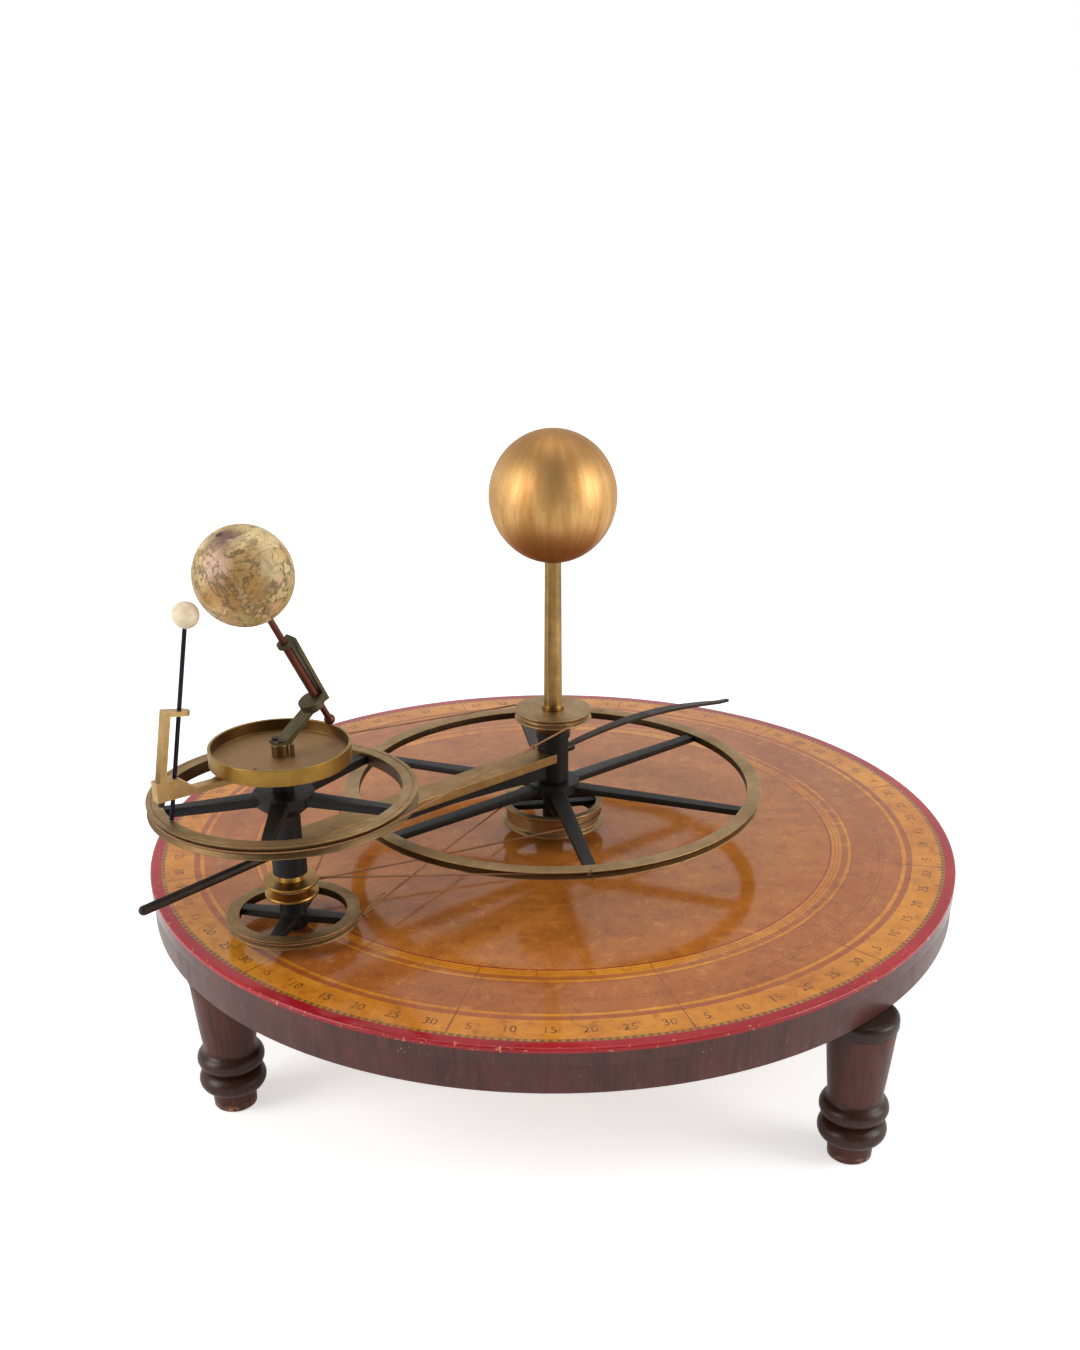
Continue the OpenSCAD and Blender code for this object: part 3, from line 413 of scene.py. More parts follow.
EFFECTS = {
    "worn edges": (effect_worn_edges, {"Vector": None, "Width": 0.0006, "Breakup": 160.0, "Amount": 1.0},
                   ("Mask",)),
    "patina": (effect_patina, {"Vector": None, "Patch Scale": 22.0, "Mottle Scale": 140.0,
                               "Speck Scale": 900.0}, ("Patches", "Mottle", "Specks")),
    "wood grain": (effect_wood_grain, {"Vector": None, "Scale": 12.0}, ("Fibres", "Pores", "Figure")),
    "turning lines": (effect_turning_lines, {"Vector": None, "Lines": 2600.0}, ("Height",)),
    "dust": (effect_dust, {"Vector": None, "Scale": 300.0, "Cluster Scale": 26.0, "Amount": 1.0},
             ("Grains", "Film")),
}


def shared_effect(name):
    """The node group of that name, built the first time it is asked for."""
    if name in bpy.data.node_groups:
        return bpy.data.node_groups[name]
    build, inputs, outputs = EFFECTS[name]
    tree = bpy.data.node_groups.new(name, "ShaderNodeTree")
    for label, value in inputs.items():
        kind = "NodeSocketVector" if value is None else "NodeSocketFloat"
        socket = tree.interface.new_socket(name=label, in_out="INPUT", socket_type=kind)
        if value is not None:
            socket.default_value = value
    for label in outputs:
        tree.interface.new_socket(name=label, in_out="OUTPUT", socket_type="NodeSocketFloat")
    wiring = Wiring(tree)
    inside = {s.name: s for s in tree.nodes.new("NodeGroupInput").outputs if s.name}
    made = build(wiring, inside)
    out = tree.nodes.new("NodeGroupOutput")
    for label, value in made.items():
        tree.links.new(value, out.inputs[label])
    return tree


# Finishes

def start_finish(name):
    """An empty material with its wiring, Object coordinates and Principled shader."""
    material = bpy.data.materials.new(name)
    material.use_nodes = True
    tree = material.node_tree
    tree.nodes.clear()
    wiring = Wiring(tree)
    here = tree.nodes.new("ShaderNodeTexCoord").outputs["Object"]
    shader = tree.nodes.new("ShaderNodeBsdfPrincipled")
    out = tree.nodes.new("ShaderNodeOutputMaterial")
    tree.links.new(shader.outputs[0], out.inputs[0])
    return material, wiring, here, shader


def set_shader(wiring, shader, **values):
    """Link or set sockets of the shader; a socket's name has _ for each space."""
    for key, value in values.items():
        wiring.put(shader.inputs[key.replace("_", " ")], value)


def rosewood_colour(w, here, base, dark, light):
    """Dark polished wood whose figure runs upright, as a bent veneer or a turned leg shows it."""
    split = w.split(here)
    upright = w.join(split[2], split[0], split[1])
    grain = w.group("wood grain", {"Vector": upright, "Scale": 14.0})
    colour = w.mix(grain["Figure"], dark, base)
    colour = w.tint(colour, grain["Fibres"], 0.45, light)
    colour = w.tint(colour, grain["Pores"], 0.6, dark)
    return colour, grain


DAYS = 366
VENEER = rgb(82, 42, 36), rgb(50, 26, 22), rgb(102, 58, 48)


def finish_calendar_top(name):
    """Varnished table top: red painted edge, day scale, month ring, band, inner ring and field."""
    material, w, here, shader = start_finish(name)
    sizes = bpy.context.scene.tellurion_table
    radius, angle, height = polar(w, here)
    wobble = w.times(w.math("SUBTRACT", w.noise(here, 9.0, 2.0), 0.5), 1.2 * MM)
    r = w.math("ADD", radius, wobble)
    edge, line = 0.25 * MM, 0.3 * MM
    inner_yellow = sizes.inner_ring_in + 7.6 * MM
    scale_in, scale_out = sizes.band_out - 16.5 * MM, sizes.band_out - 13 * MM

    field_grain = w.group("wood grain", {"Vector": here, "Scale": 5.0})
    patina = w.patina(here, 7.0, 60.0, 700.0)
    field = w.mix(field_grain["Figure"], rgb(160, 90, 26), chosen(sizes.field_wood))
    field = w.tint(field, field_grain["Fibres"], 0.35, rgb(192, 126, 62))
    field = w.tint(field, patina["Patches"], 0.4, rgb(146, 80, 26))
    band = w.mix(patina["Patches"], rgb(152, 84, 32), rgb(174, 104, 48))
    yellow = w.mix(patina["Patches"], rgb(190, 114, 24), chosen(sizes.ring_paint))

    colour = field
    for inner, outer, tone in (
            (sizes.inner_ring_in - 1.4 * MM, sizes.inner_ring_in, rgb(140, 52, 36)),
            (sizes.inner_ring_in, inner_yellow, yellow),
            (inner_yellow, sizes.inner_ring_out - 2.4 * MM, band),
            (sizes.inner_ring_out - 2.4 * MM, sizes.inner_ring_out, yellow),
            (sizes.inner_ring_out, sizes.band_out, band),
            (sizes.band_out, sizes.band_out + 3.4 * MM, yellow),
            (sizes.band_out + 3.4 * MM, sizes.month_in, rgb(160, 86, 40)),
            (sizes.month_in, sizes.month_out, yellow)):
        colour = w.mix(w.between(r, inner, outer, edge), colour, tone)

    # fine ruled circles
    for ruled in (sizes.inner_ring_in + 2.6 * MM, sizes.inner_ring_in + 5.2 * MM, scale_out, scale_in,
                  sizes.band_out, sizes.month_in, sizes.month_out, sizes.inner_ring_out + 0.5 * MM):
        circle = w.between(r, ruled - line, ruled + line, 0.2 * MM)
        colour = w.tint(colour, circle, 0.6, rgb(118, 58, 32))

    # month divisions run across the rings, ten degree marks across the inner ones
    first = sizes.first_month / (2 * math.pi)

    def spokes(count, width, low, high):
        off = w.from_whole(w.times(w.math("SUBTRACT", angle, first), count))
        reach = w.times(w.times(off, radius), 2 * math.pi / count)
        return w.times(w.ramp_up(reach, width, width * 0.5), w.between(r, low, high, edge))

    months = spokes(12, 0.6 * MM, sizes.band_out, sizes.month_out + 2 * MM)
    tens = spokes(36, 0.4 * MM, sizes.inner_ring_in, inner_yellow)
    signs = spokes(12, 0.5 * MM, sizes.inner_ring_in, sizes.band_out)
    degrees = spokes(360, 0.4 * MM, scale_in, scale_out)
    for mask, strength in ((months, 0.85), (tens, 0.5), (signs, 0.4), (degrees, 0.45)):
        colour = w.tint(colour, mask, strength, rgb(92, 44, 26))

    # the day scale is a chequered line, a dash to each day
    day = w.math("FRACT", w.times(w.math("SUBTRACT", angle, first), DAYS))
    dash = w.mix(w.ramp_up(day, 0.46, 0.54), rgb(100, 82, 42), rgb(168, 114, 48))
    colour = w.mix(w.between(r, sizes.month_out, sizes.red_in, edge), colour, dash)

    # an old varnish: reddish clouds, fine dirt in the scratches, and rubbed pale spots
    clouds = w.ramp_up(w.noise(here, 17.0, 7.0, 0.68, 0.8), 0.44, 0.66)
    colour = w.tint(colour, clouds, 0.44, rgb(148, 74, 24))
    scuffs = w.noise(here, 95.0, 7.0, 0.78, 0.6)
    colour = w.tint(colour, w.ramp_up(scuffs, 0.52, 0.64), 0.46, rgb(112, 58, 30))
    colour = w.tint(colour, w.ramp_up(scuffs, 0.44, 0.34), 0.36, rgb(216, 158, 88))

    # red paint on the edge, chipped to the ground; the side below is veneered
    red = w.mix(patina["Patches"], rgb(142, 18, 30), chosen(sizes.red_paint))
    red = w.tint(red, patina["Mottle"], 0.3, rgb(120, 12, 26))
    wear = w.worn_edges(here, 1.6 * MM, 90.0, 1.0)
    chip = w.times(w.ramp_up(w.noise(here, 210.0, 5.0, 0.7), 0.6, 0.66),
                   w.ramp_up(radius, sizes.radius - 3.5 * MM, sizes.radius - 1 * MM))
    red = w.mix(w.math("MAXIMUM", chip, w.times(wear, 0.35)), red, rgb(206, 140, 96))
    veneer, _ = rosewood_colour(w, here, *VENEER)
    low_side = w.ramp_up(height, TABLE_TOP - 3.0 * MM, TABLE_TOP - 3.4 * MM)
    red = w.mix(low_side, red, veneer)
    colour = w.mix(w.ramp_up(r, sizes.red_in - edge, sizes.red_in + edge), colour, red)

    dust = w.group("dust", {"Vector": here, "Scale": 420.0, "Cluster Scale": 16.0, "Amount": 0.8})
    colour = w.mix(dust["Grains"], colour, rgb(226, 206, 176))
    rough = w.mix_value(dust["Film"], 0.10, 0.19)
    ripple = w.math("ADD", w.noise(here, 34.0, 3.0, 0.5), w.times(w.noise(here, 7.0, 2.0), 3.0))
    set_shader(w, shader, Base_Color=colour, Roughness=w.mix_value(dust["Grains"], rough, 0.8),
               Normal=w.bump(ripple, 0.10, 1.2 * MM), Specular_IOR_Level=0.38)
    return material


def finish_rosewood(name):
    """Veneered hoop: purple-brown, polished, with an upright figure, scuffed low down."""
    material, w, here, shader = start_finish(name)
    colour, grain = rosewood_colour(w, here, *VENEER)
    patina = w.patina(here, 16.0, 120.0, 800.0)
    colour = w.tint(colour, patina["Patches"], 0.25, rgb(92, 40, 42))
    height = w.split(here)[2]
    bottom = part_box("apron_hoop")[0].z
    low = w.ramp_up(height, bottom + 12 * MM, bottom)
    scratch = w.noise(w.place(here, scale=(1, 1, 0.35)), 230.0, 5.0, 0.75, 0.5)
    scuff = w.times(w.ramp_up(scratch, 0.62, 0.68), w.mix_value(low, 0.3, 1.0))
    wear = w.worn_edges(here, 1.4 * MM, 110.0, 0.7)
    colour = w.mix(w.math("MAXIMUM", w.times(scuff, 0.5), wear), colour, rgb(186, 140, 116))
    set_shader(w, shader, Base_Color=colour, Roughness=w.mix_value(grain["Figure"], 0.36, 0.28),
               Normal=w.bump(grain["Fibres"], 0.12, 0.4 * MM), Specular_IOR_Level=0.34)
    return material


def finish_turned_leg(name):
    """Polished leg: red-brown body, blackened collar and beads, light chips on the foot."""
    material, w, here, shader = start_finish(name)
    colour, grain = rosewood_colour(w, here, rgb(84, 38, 28), rgb(48, 23, 18), rgb(110, 58, 42))
    height = w.split(here)[2]
    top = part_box("leg_front_right")[1].z - 16.5 * MM
    collar = w.ramp_up(height, top - 11.5 * MM, top - 9.5 * MM)
    beads = w.between(height, 13.5 * MM, 50.5 * MM, 1.6 * MM)
    black = w.math("MAXIMUM", collar, w.times(beads, 0.74))
    mottle = w.patina(here, 60.0, 240.0, 900.0)
    paint = w.mix(mottle["Mottle"], rgb(30, 18, 14), rgb(58, 37, 28))
    colour = w.mix(black, colour, paint)
    wear = w.worn_edges(here, 2.2 * MM, 200.0, 0.7)
    foot = w.ramp_up(height, 6 * MM, 1 * MM)
    chips = w.times(w.ramp_up(w.noise(here, 260.0, 4.0, 0.7), 0.52, 0.6), foot)
    colour = w.tint(colour, wear, 0.5, rgb(112, 70, 48))
    colour = w.mix(chips, colour, rgb(196, 152, 104))
    set_shader(w, shader, Base_Color=colour, Roughness=w.mix_value(mottle["Mottle"], 0.27, 0.38),
               Normal=w.bump(w.math("ADD", grain["Fibres"], mottle["Mottle"]), 0.12, 0.5 * MM),
               Specular_IOR_Level=0.34)
    return material


def finish_plain_wood(name):
    """Unpolished softwood of the battens."""
    material, w, here, shader = start_finish(name)
    grain = w.group("wood grain", {"Vector": w.place(here, turn=(0, 0, math.radians(45.6))),
                                   "Scale": 8.0})
    colour = w.mix(grain["Figure"], rgb(104, 66, 44), rgb(140, 94, 62))
    colour = w.tint(colour, grain["Fibres"], 0.5, rgb(160, 112, 76))
    set_shader(w, shader, Base_Color=colour, Roughness=w.mix_value(grain["Fibres"], 0.75, 0.62),
               Normal=w.bump(grain["Fibres"], 0.3, 0.6 * MM))
    return material


def metal_finish(name, base, tarnish, bright, rough, rough_bright, axis=None, tarnish_share=0.6,
                 wear_and_highlight_amount=0.6, lines=2600.0, pits=0.0, metallic=1.0, mottle_scale=140.0, floor=None,
                 inner=None, outer=None):
    """Old metal: patches of tarnish, specks, rubbed edges brightened both as wear and as a painted
    highlight, and lathe rings round an axis.
    `inner` is the painted shade on the walls that face the axis. With it, `outer` is the colour that
    darkens the walls that face away, and `floor` the radius, height and colour of a browned floor inside a
    dish."""
    material, w, here, shader = start_finish(name)
    patina = w.patina(here, 26.0, mottle_scale, 1100.0)
    dull = w.math("MULTIPLY", w.math("ADD", w.times(patina["Patches"], 0.6),
                                     w.times(patina["Mottle"], 0.5)), tarnish_share, clamp=True)
    colour = w.mix(dull, base, tarnish)
    colour = w.tint(colour, patina["Specks"], 0.5, tarnish)
    if axis is not None:
        centred = w.place(here, shift=(-axis[0], -axis[1], 0))
    if inner is not None:
        around, split = from_axis(w, centred)
        if floor is not None:
            reach, level, stain = floor
            inside = w.times(w.ramp_up(around, reach + 0.8 * MM, reach - 0.8 * MM),
                             w.ramp_up(split[2], level + 1.2 * MM, level + 0.4 * MM))
            browned = w.times(inside, w.mix_value(patina["Patches"], 0.95, 0.75))
            colour = w.mix(browned, colour, stain)
        # painted shade: walls that face the axis are turned to the dark inner colour
        level_way = w.place(here, shift=(-axis[0], -axis[1], 0), scale=(1, 1, 0))
        normal = w.node("ShaderNodeTexCoord").outputs["Normal"]
        facing = w.math("DIVIDE", w.between_vectors("DOT_PRODUCT", normal, level_way), around)
        shadow = w.times(w.ramp_up(facing, -0.45, -0.7), w.mix_value(patina["Mottle"], 0.97, 0.82))
        colour = w.mix(shadow, colour, inner)
        # walls that face away from the axis are darkened in patches towards the outer colour
        if outer is not None:
            outward_wall_darkening = w.times(w.ramp_up(facing, 0.2, 0.6), w.mix_value(patina["Mottle"], 0.85, 0.45))
            colour = w.mix(outward_wall_darkening, colour, outer)
    # rubbed edges: wear, whose bright colour also serves as a painted edge highlight
    wear = w.worn_edges(here, 0.7 * MM, 130.0, wear_and_highlight_amount)
    colour = w.mix(wear, colour, bright)
    roughness = w.mix_value(dull, rough, rough + 0.16)
    if floor is not None:
        roughness = w.mix_value(inside, roughness, 0.55)
    roughness = w.mix_value(wear, roughness, rough_bright)
    surface = w.times(patina["Mottle"], 0.4 + pits)
    if axis is not None:
        rings = w.group("turning lines", {"Vector": centred, "Lines": lines})
        surface = w.math("ADD", surface, rings["Height"])
        roughness = w.math("ADD", roughness, w.times(w.math("SUBTRACT", rings["Height"], 0.5), 0.1))
    set_shader(w, shader, Base_Color=colour, Roughness=roughness, Normal=w.bump(surface, 0.22, 0.2 * MM),
               Metallic=metallic)
    return material


# Each metal: its clean, dull and rubbed colours, the rubbed one also a painted edge highlight, its
# roughness
#  where clean and where rubbed, and what else differs from the plain one, such as the painted shade of
#  inner walls
METALS = {
    "brass": dict(
        base=rgb(182, 150, 106), tarnish=rgb(122, 96, 64), bright=rgb(228, 190, 126), rough=0.40,
        rough_bright=0.26, axis=COLUMN, tarnish_share=0.8, wear_and_highlight_amount=0.9, inner=rgb(34, 27, 20)),
    "post brass": dict(
        base=rgb(178, 146, 102), tarnish=rgb(110, 86, 54), bright=rgb(228, 190, 124), rough=0.40,
        rough_bright=0.26, axis=POST, tarnish_share=0.8, wear_and_highlight_amount=0.9, inner=rgb(70, 54, 38),
        outer=rgb(92, 72, 48)),
    "bright brass": dict(
        base=rgb(190, 146, 74), tarnish=rgb(112, 80, 36), bright=rgb(240, 206, 128), rough=0.28,
        rough_bright=0.2, axis=POST),
    "tray brass": dict(
        base=rgb(172, 134, 66), tarnish=rgb(104, 76, 34), bright=rgb(226, 184, 108), rough=0.30,
        rough_bright=0.22, axis=POST, inner=rgb(98, 78, 48),
        floor=(44 * MM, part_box("tray")[0].z + 4.6 * MM, rgb(160, 128, 94))),
    "bar brass": dict(
        base=rgb(178, 142, 88), tarnish=rgb(122, 94, 58), bright=rgb(226, 182, 104), rough=0.36,
        rough_bright=0.26, tarnish_share=0.8),
    "tube brass": dict(
        base=rgb(178, 144, 88), tarnish=rgb(98, 74, 42), bright=rgb(228, 194, 120), rough=0.26,
        rough_bright=0.2, axis=COLUMN, tarnish_share=0.8, lines=1200.0),
    "dull bronze": dict(
        base=rgb(164, 132, 90), tarnish=rgb(98, 78, 48), bright=rgb(228, 188, 122), rough=0.40,
        rough_bright=0.26, axis=POST, tarnish_share=0.85, wear_and_highlight_amount=0.9, inner=rgb(40, 32, 24)),
    "strip brass": dict(
        base=rgb(204, 170, 116), tarnish=rgb(144, 112, 66), bright=rgb(236, 206, 150), rough=0.36,
        rough_bright=0.26, tarnish_share=0.7),
    "bracket": dict(
        base=rgb(112, 100, 74), tarnish=rgb(64, 58, 42), bright=rgb(160, 142, 100), rough=0.5,
        rough_bright=0.36, tarnish_share=0.9, pits=1.6, mottle_scale=420.0),
    "dark bar": dict(
        base=rgb(70, 58, 48), tarnish=rgb(34, 28, 26), bright=rgb(124, 98, 74), rough=0.42,
        rough_bright=0.32, tarnish_share=0.9, pits=0.8, metallic=0.8),
    "moon rod": dict(
        base=rgb(50, 42, 58), tarnish=rgb(24, 20, 30), bright=rgb(110, 96, 112), rough=0.3,
        rough_bright=0.26, tarnish_share=0.8, metallic=0.9),
    "rusty spindle": dict(
        base=rgb(122, 66, 46), tarnish=rgb(66, 30, 22), bright=rgb(168, 112, 84), rough=0.4,
        rough_bright=0.3, tarnish_share=0.9, pits=0.8, metallic=0.75),
    "steel": dict(
        base=rgb(140, 132, 122), tarnish=rgb(92, 84, 76), bright=rgb(186, 180, 170), rough=0.36,
        rough_bright=0.28, axis=COLUMN),
}


def finish_black_iron(name):
    """Black paint over cast iron: satin, greyer in slow patches, rubbed brown at the edges."""
    material, w, here, shader = start_finish(name)
    patina = w.patina(here, 30.0, 260.0, 1200.0)
    colour = w.mix(patina["Patches"], rgb(13, 12, 10), rgb(27, 25, 22))
    colour = w.tint(colour, patina["Specks"], 0.5, rgb(78, 66, 52))
    wear = w.worn_edges(here, 0.8 * MM, 170.0, 0.7)
    colour = w.tint(colour, wear, 0.7, rgb(92, 78, 60))
    set_shader(w, shader, Base_Color=colour, Roughness=w.mix_value(patina["Mottle"], 0.38, 0.56),
               Normal=w.bump(patina["Mottle"], 0.3, 0.3 * MM), Specular_IOR_Level=0.26)
    return material


def finish_gilding(name):
    """Leaf over a turned ball: warm gold with burnish marks that run upright, a painted reflection of the
    table below and painted shade on top.
    """
    material, w, here, shader = start_finish(name)
    _, angle, height = polar(w, here)
    turn = w.times(angle, 2 * math.pi)
    around = w.join(w.math("COSINE", turn), w.math("SINE", turn), w.times(height, 3.0))
    streaks = w.ramp_up(w.noise(around, 5.0, 6.0, 0.62, 0.3), 0.34, 0.68)
    fine = w.noise(around, 26.0, 4.0, 0.6)
    patina = w.patina(here, 24.0, 130.0, 420.0)
    colour = w.mix(streaks, rgb(196, 146, 84), chosen(bpy.context.scene.tellurion_balls.leaf))
    colour = w.tint(colour, patina["Patches"], 0.4, rgb(174, 116, 58))
    ball_low, ball_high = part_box("sun_ball")
    # painted reflection: the lower part turned to the orange-brown of the table it would mirror
    low = w.ramp_up(height, ball_low.z + 34 * MM, ball_low.z + 4 * MM)
    colour = w.tint(colour, low, 0.7, rgb(138, 74, 24))
    # painted shade: the top turned darker and browner, patchily, for the dim light overhead
    painted_top_shade = w.ramp_up(height, ball_high.z - 30 * MM, ball_high.z - 4 * MM)
    colour = w.tint(colour, painted_top_shade, w.mix_value(patina["Patches"], 0.85, 0.6), rgb(158, 112, 62))
    colour = w.tint(colour, patina["Specks"], 0.4, rgb(150, 100, 46))
    roughness = w.math("ADD", w.mix_value(streaks, 0.50, 0.40), w.times(fine, 0.1))
    surface = w.math("ADD", w.times(streaks, 0.6), w.times(patina["Mottle"], 0.3))
    set_shader(w, shader, Base_Color=colour, Roughness=roughness, Normal=w.bump(surface, 0.18, 0.6 * MM),
               Metallic=0.92)
    return material


def finish_ivory(name):
    """Polished ivory: warm white with faint cloudy lines."""
    material, w, here, shader = start_finish(name)
    cloud = w.noise(w.place(here, scale=(1, 1, 2.5)), 160.0, 4.0, 0.6, 0.5)
    pale = chosen(bpy.context.scene.tellurion_balls.ivory)
    colour = w.mix(w.ramp_up(cloud, 0.35, 0.7), pale, rgb(214, 190, 154))
    set_shader(w, shader, Base_Color=colour, Roughness=w.mix_value(cloud, 0.3, 0.38),
               Normal=w.bump(cloud, 0.08, 0.3 * MM), Subsurface_Weight=0.12,
               Subsurface_Radius=(4 * MM, 2.5 * MM, 1.5 * MM))
    return material


def finish_map_paper(name):
    """Varnished paper globe with an invented map: seas, lands with inked coasts, and a graticule."""
    material, w, here, shader = start_finish(name)
    low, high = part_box("globe")
    centre = (low + high) / 2
    axis, angle = globe_tilt()
    # turn the pattern so that its Z axis is the globe's axis
    moved = w.place(here, shift=tuple(-centre))
    local = w.node("ShaderNodeVectorRotate", {"Vector": moved, "Axis": axis, "Angle": -angle},
                   rotation_type="AXIS_ANGLE").outputs[0]
    split = w.split(local)
    radius = (high - low).x / 2
    latitude = w.math("ARCSINE", w.math("DIVIDE", split[2], radius))
    longitude = w.math("ARCTAN2", split[1], split[0])

    shape = w.noise(w.place(local, shift=(0.013, 0.02, 0.007)), 34.0, 9.0, 0.62, 0.5)
    land = w.ramp_up(shape, 0.495, 0.505)
    coast = w.between(shape, 0.488, 0.512, 0.004)
    region = w.node("ShaderNodeTexVoronoi", {"Vector": local, "Scale": 62.0, "Randomness": 1.0},
                    feature="F1").outputs["Color"]
    pick = w.node("ShaderNodeSeparateColor", {"Color": region}).outputs
    borders = w.node("ShaderNodeTexVoronoi", {"Vector": local, "Scale": 62.0},
                     feature="DISTANCE_TO_EDGE").outputs["Distance"]
    pale = chosen(bpy.context.scene.tellurion_balls.sea)
    sea = w.mix(w.noise(local, 60.0, 4.0), rgb(210, 182, 124), pale)
    tint = w.mix(w.ramp_up(pick[0], 0.35, 0.45), rgb(206, 166, 92), rgb(208, 176, 120))
    tint = w.mix(w.ramp_up(pick[1], 0.66, 0.72), tint, rgb(208, 166, 124))
    tint = w.mix(w.ramp_up(pick[2], 0.70, 0.76), tint, rgb(190, 166, 108))
    colour = w.mix(land, sea, tint)
    colour = w.tint(colour, w.times(w.ramp_up(borders, 0.05, 0.02), land), 0.25, rgb(124, 88, 54))

    def ruled(value, count, width):
        off = w.from_whole(w.times(value, count / (2 * math.pi)))
        return w.ramp_up(off, width, width * 0.4)

    # a graticule, fine print, and ochre staining all over
    lines = w.math("MAXIMUM", ruled(latitude, 24, 0.022), ruled(longitude, 24, 0.022))
    colour = w.tint(colour, lines, 0.3, rgb(116, 98, 62))
    print_marks = w.ramp_up(w.noise(w.place(local, scale=(1, 1, 3)), 420.0, 3.0, 0.7), 0.6, 0.68)
    colour = w.tint(colour, print_marks, 0.4, rgb(104, 82, 50))
    stain = w.ramp_up(w.noise(w.place(local, shift=(0.02, 0.07, 0.01)), 30.0, 6.0, 0.66, 0.9), 0.45, 0.64)
    colour = w.tint(colour, stain, 0.75, rgb(150, 110, 40))
    # single stains and, third, a pale patch of painted highlight where the right lamp falls; the last
    #  is at the pole: direction from the globe's middle, reach in radii, strength and colour
    ragged = w.noise(moved, 70.0, 6.0, 0.72, 0.6)
    for direction, reach, strength, tone in (
            ((-0.336, -0.923, -0.186), 0.36, 0.60, rgb(192, 134, 70)),
            ((0.202, -0.955, 0.217), 0.66, 0.70, rgb(142, 100, 36)),
            # a pale patch of painted highlight where the right softbox falls on the globe
            ((0.760, -0.540, 0.362), 0.34, 0.50, rgb(214, 196, 150)),
            ((-0.395, -0.789, 0.470), 0.30, 0.62, rgb(218, 176, 156)),
            ((-0.214, -0.438, 0.873), 0.32, 0.88, rgb(98, 60, 66))):
        gap = w.between_vectors("DISTANCE", moved, [radius * part for part in direction])
        edge = w.math("ADD", w.math("DIVIDE", gap, radius), w.times(ragged, 0.8))
        shade = w.ramp_up(edge, reach + 0.56, reach + 0.24)
        colour = w.tint(colour, shade, strength, tone)
    # ink: coasts, and thin rivers and hills along one level of a finer noise
    colour = w.tint(colour, coast, 0.75, rgb(84, 68, 34))
    ridges = w.noise(w.place(local, shift=(0.031, 0.012, 0.02)), 58.0, 8.0, 0.66, 0.9)
    colour = w.tint(colour, w.between(ridges, 0.494, 0.506, 0.004), 0.8, rgb(86, 62, 28))
    flecks = w.noise(w.place(local, shift=(0.04, 0.02, 0.06)), 150.0, 8.0, 0.74, 0.9)
    colour = w.tint(colour, w.ramp_up(flecks, 0.54, 0.62), 0.6, rgb(100, 76, 36))
    # the hole at the pole
    colour = w.mix(w.ramp_up(latitude, 1.48, 1.51), colour, rgb(66, 24, 20))
    set_shader(w, shader, Base_Color=colour, Roughness=w.mix_value(stain, 0.5, 0.42),
               Normal=w.bump(w.noise(local, 300.0, 3.0), 0.12, 0.3 * MM))
    return material


def finish_string(name):
    """Brown twisted string: darker between the strands, with a little fluff in its colour."""
    material, w, here, shader = start_finish(name)
    fluff = w.noise(here, 1500.0, 3.0, 0.7)
    slow = w.noise(here, 40.0, 3.0, 0.6)
    colour = w.mix(w.ramp_up(fluff, 0.3, 0.7), rgb(96, 58, 34),
                   chosen(bpy.context.scene.tellurion_cords.string))
    colour = w.tint(colour, w.ramp_up(slow, 0.4, 0.7), 0.4, rgb(178, 132, 90))
    set_shader(w, shader, Base_Color=colour, Roughness=w.mix_value(fluff, 0.72, 0.88),
               Normal=w.bump(fluff, 0.4, 0.3 * MM))
    return material


def finish_printed_ink(name):
    """Brown-black ink of the numbers, worn thin in places."""
    material, w, here, shader = start_finish(name)
    worn = w.ramp_up(w.noise(here, 130.0, 5.0, 0.7), 0.42, 0.66)
    colour = w.tint(rgb(74, 42, 20), worn, 0.75, rgb(176, 108, 34))
    set_shader(w, shader, Base_Color=colour, Roughness=w.mix_value(worn, 0.3, 0.22))
    return material


def finish_faded_ink(name):
    """Ink of the small numbers on the brown band, nearly as pale as the band."""
    material, w, here, shader = start_finish(name)
    worn = w.ramp_up(w.noise(here, 110.0, 5.0, 0.7), 0.36, 0.62)
    colour = w.mix(worn, rgb(112, 60, 36), rgb(168, 94, 50))
    set_shader(w, shader, Base_Color=colour, Roughness=w.mix_value(worn, 0.3, 0.22))
    return material


FINISHES = {
    "calendar top": finish_calendar_top, "rosewood": finish_rosewood, "turned leg": finish_turned_leg,
    "plain wood": finish_plain_wood, "black iron": finish_black_iron, "gilding": finish_gilding,
    "ivory": finish_ivory, "map paper": finish_map_paper, "string": finish_string,
    "printed ink": finish_printed_ink, "faded ink": finish_faded_ink,
}


def finish_of(name):
    """The material of that finish, built the first time it is asked for. Its name has a word
    more than the finish, because the frame's own plain materials may have the short name."""
    label = name + " finish"
    if label in bpy.data.materials:
        return bpy.data.materials[label]
    return metal_finish(label, **METALS[name]) if name in METALS else FINISHES[name](label)


# Places read from the frame

def globe_tilt():
    """Axis and angle of the turn that takes +Z to the globe's axis, from the joint in the record."""
    axis = next(j["axis"] for j in frame["joints"] if j["name"] == "globe_spin")
    turn = Vector((0, 0, 1)).rotation_difference(Vector(axis))
    return turn.to_axis_angle()


def span(node):
    """Centre (x, y), outer radius, lowest and highest z of an upright round node."""
    low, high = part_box(node)
    return ((low.x + high.x) / 2, (low.y + high.y) / 2), (high.x - low.x) / 2, low.z, high.z


# Sizes and colours that a user would change

def length(label, description, default):
    return FloatProperty(name=label, description=description, unit="LENGTH", default=default)


def direction(label, description, degrees):
    return FloatProperty(name=label, description=description, subtype="ANGLE",
                         default=math.radians(degrees))


def paint(label, description, tone):
    """Colour property whose default is the given material colour."""
    return FloatVectorProperty(name=label, description=description, subtype="COLOR", min=0.0, max=1.0,
                               default=tone[:3])


def chosen(colour):
    """A colour property as a material colour."""
    return (*colour, 1.0)


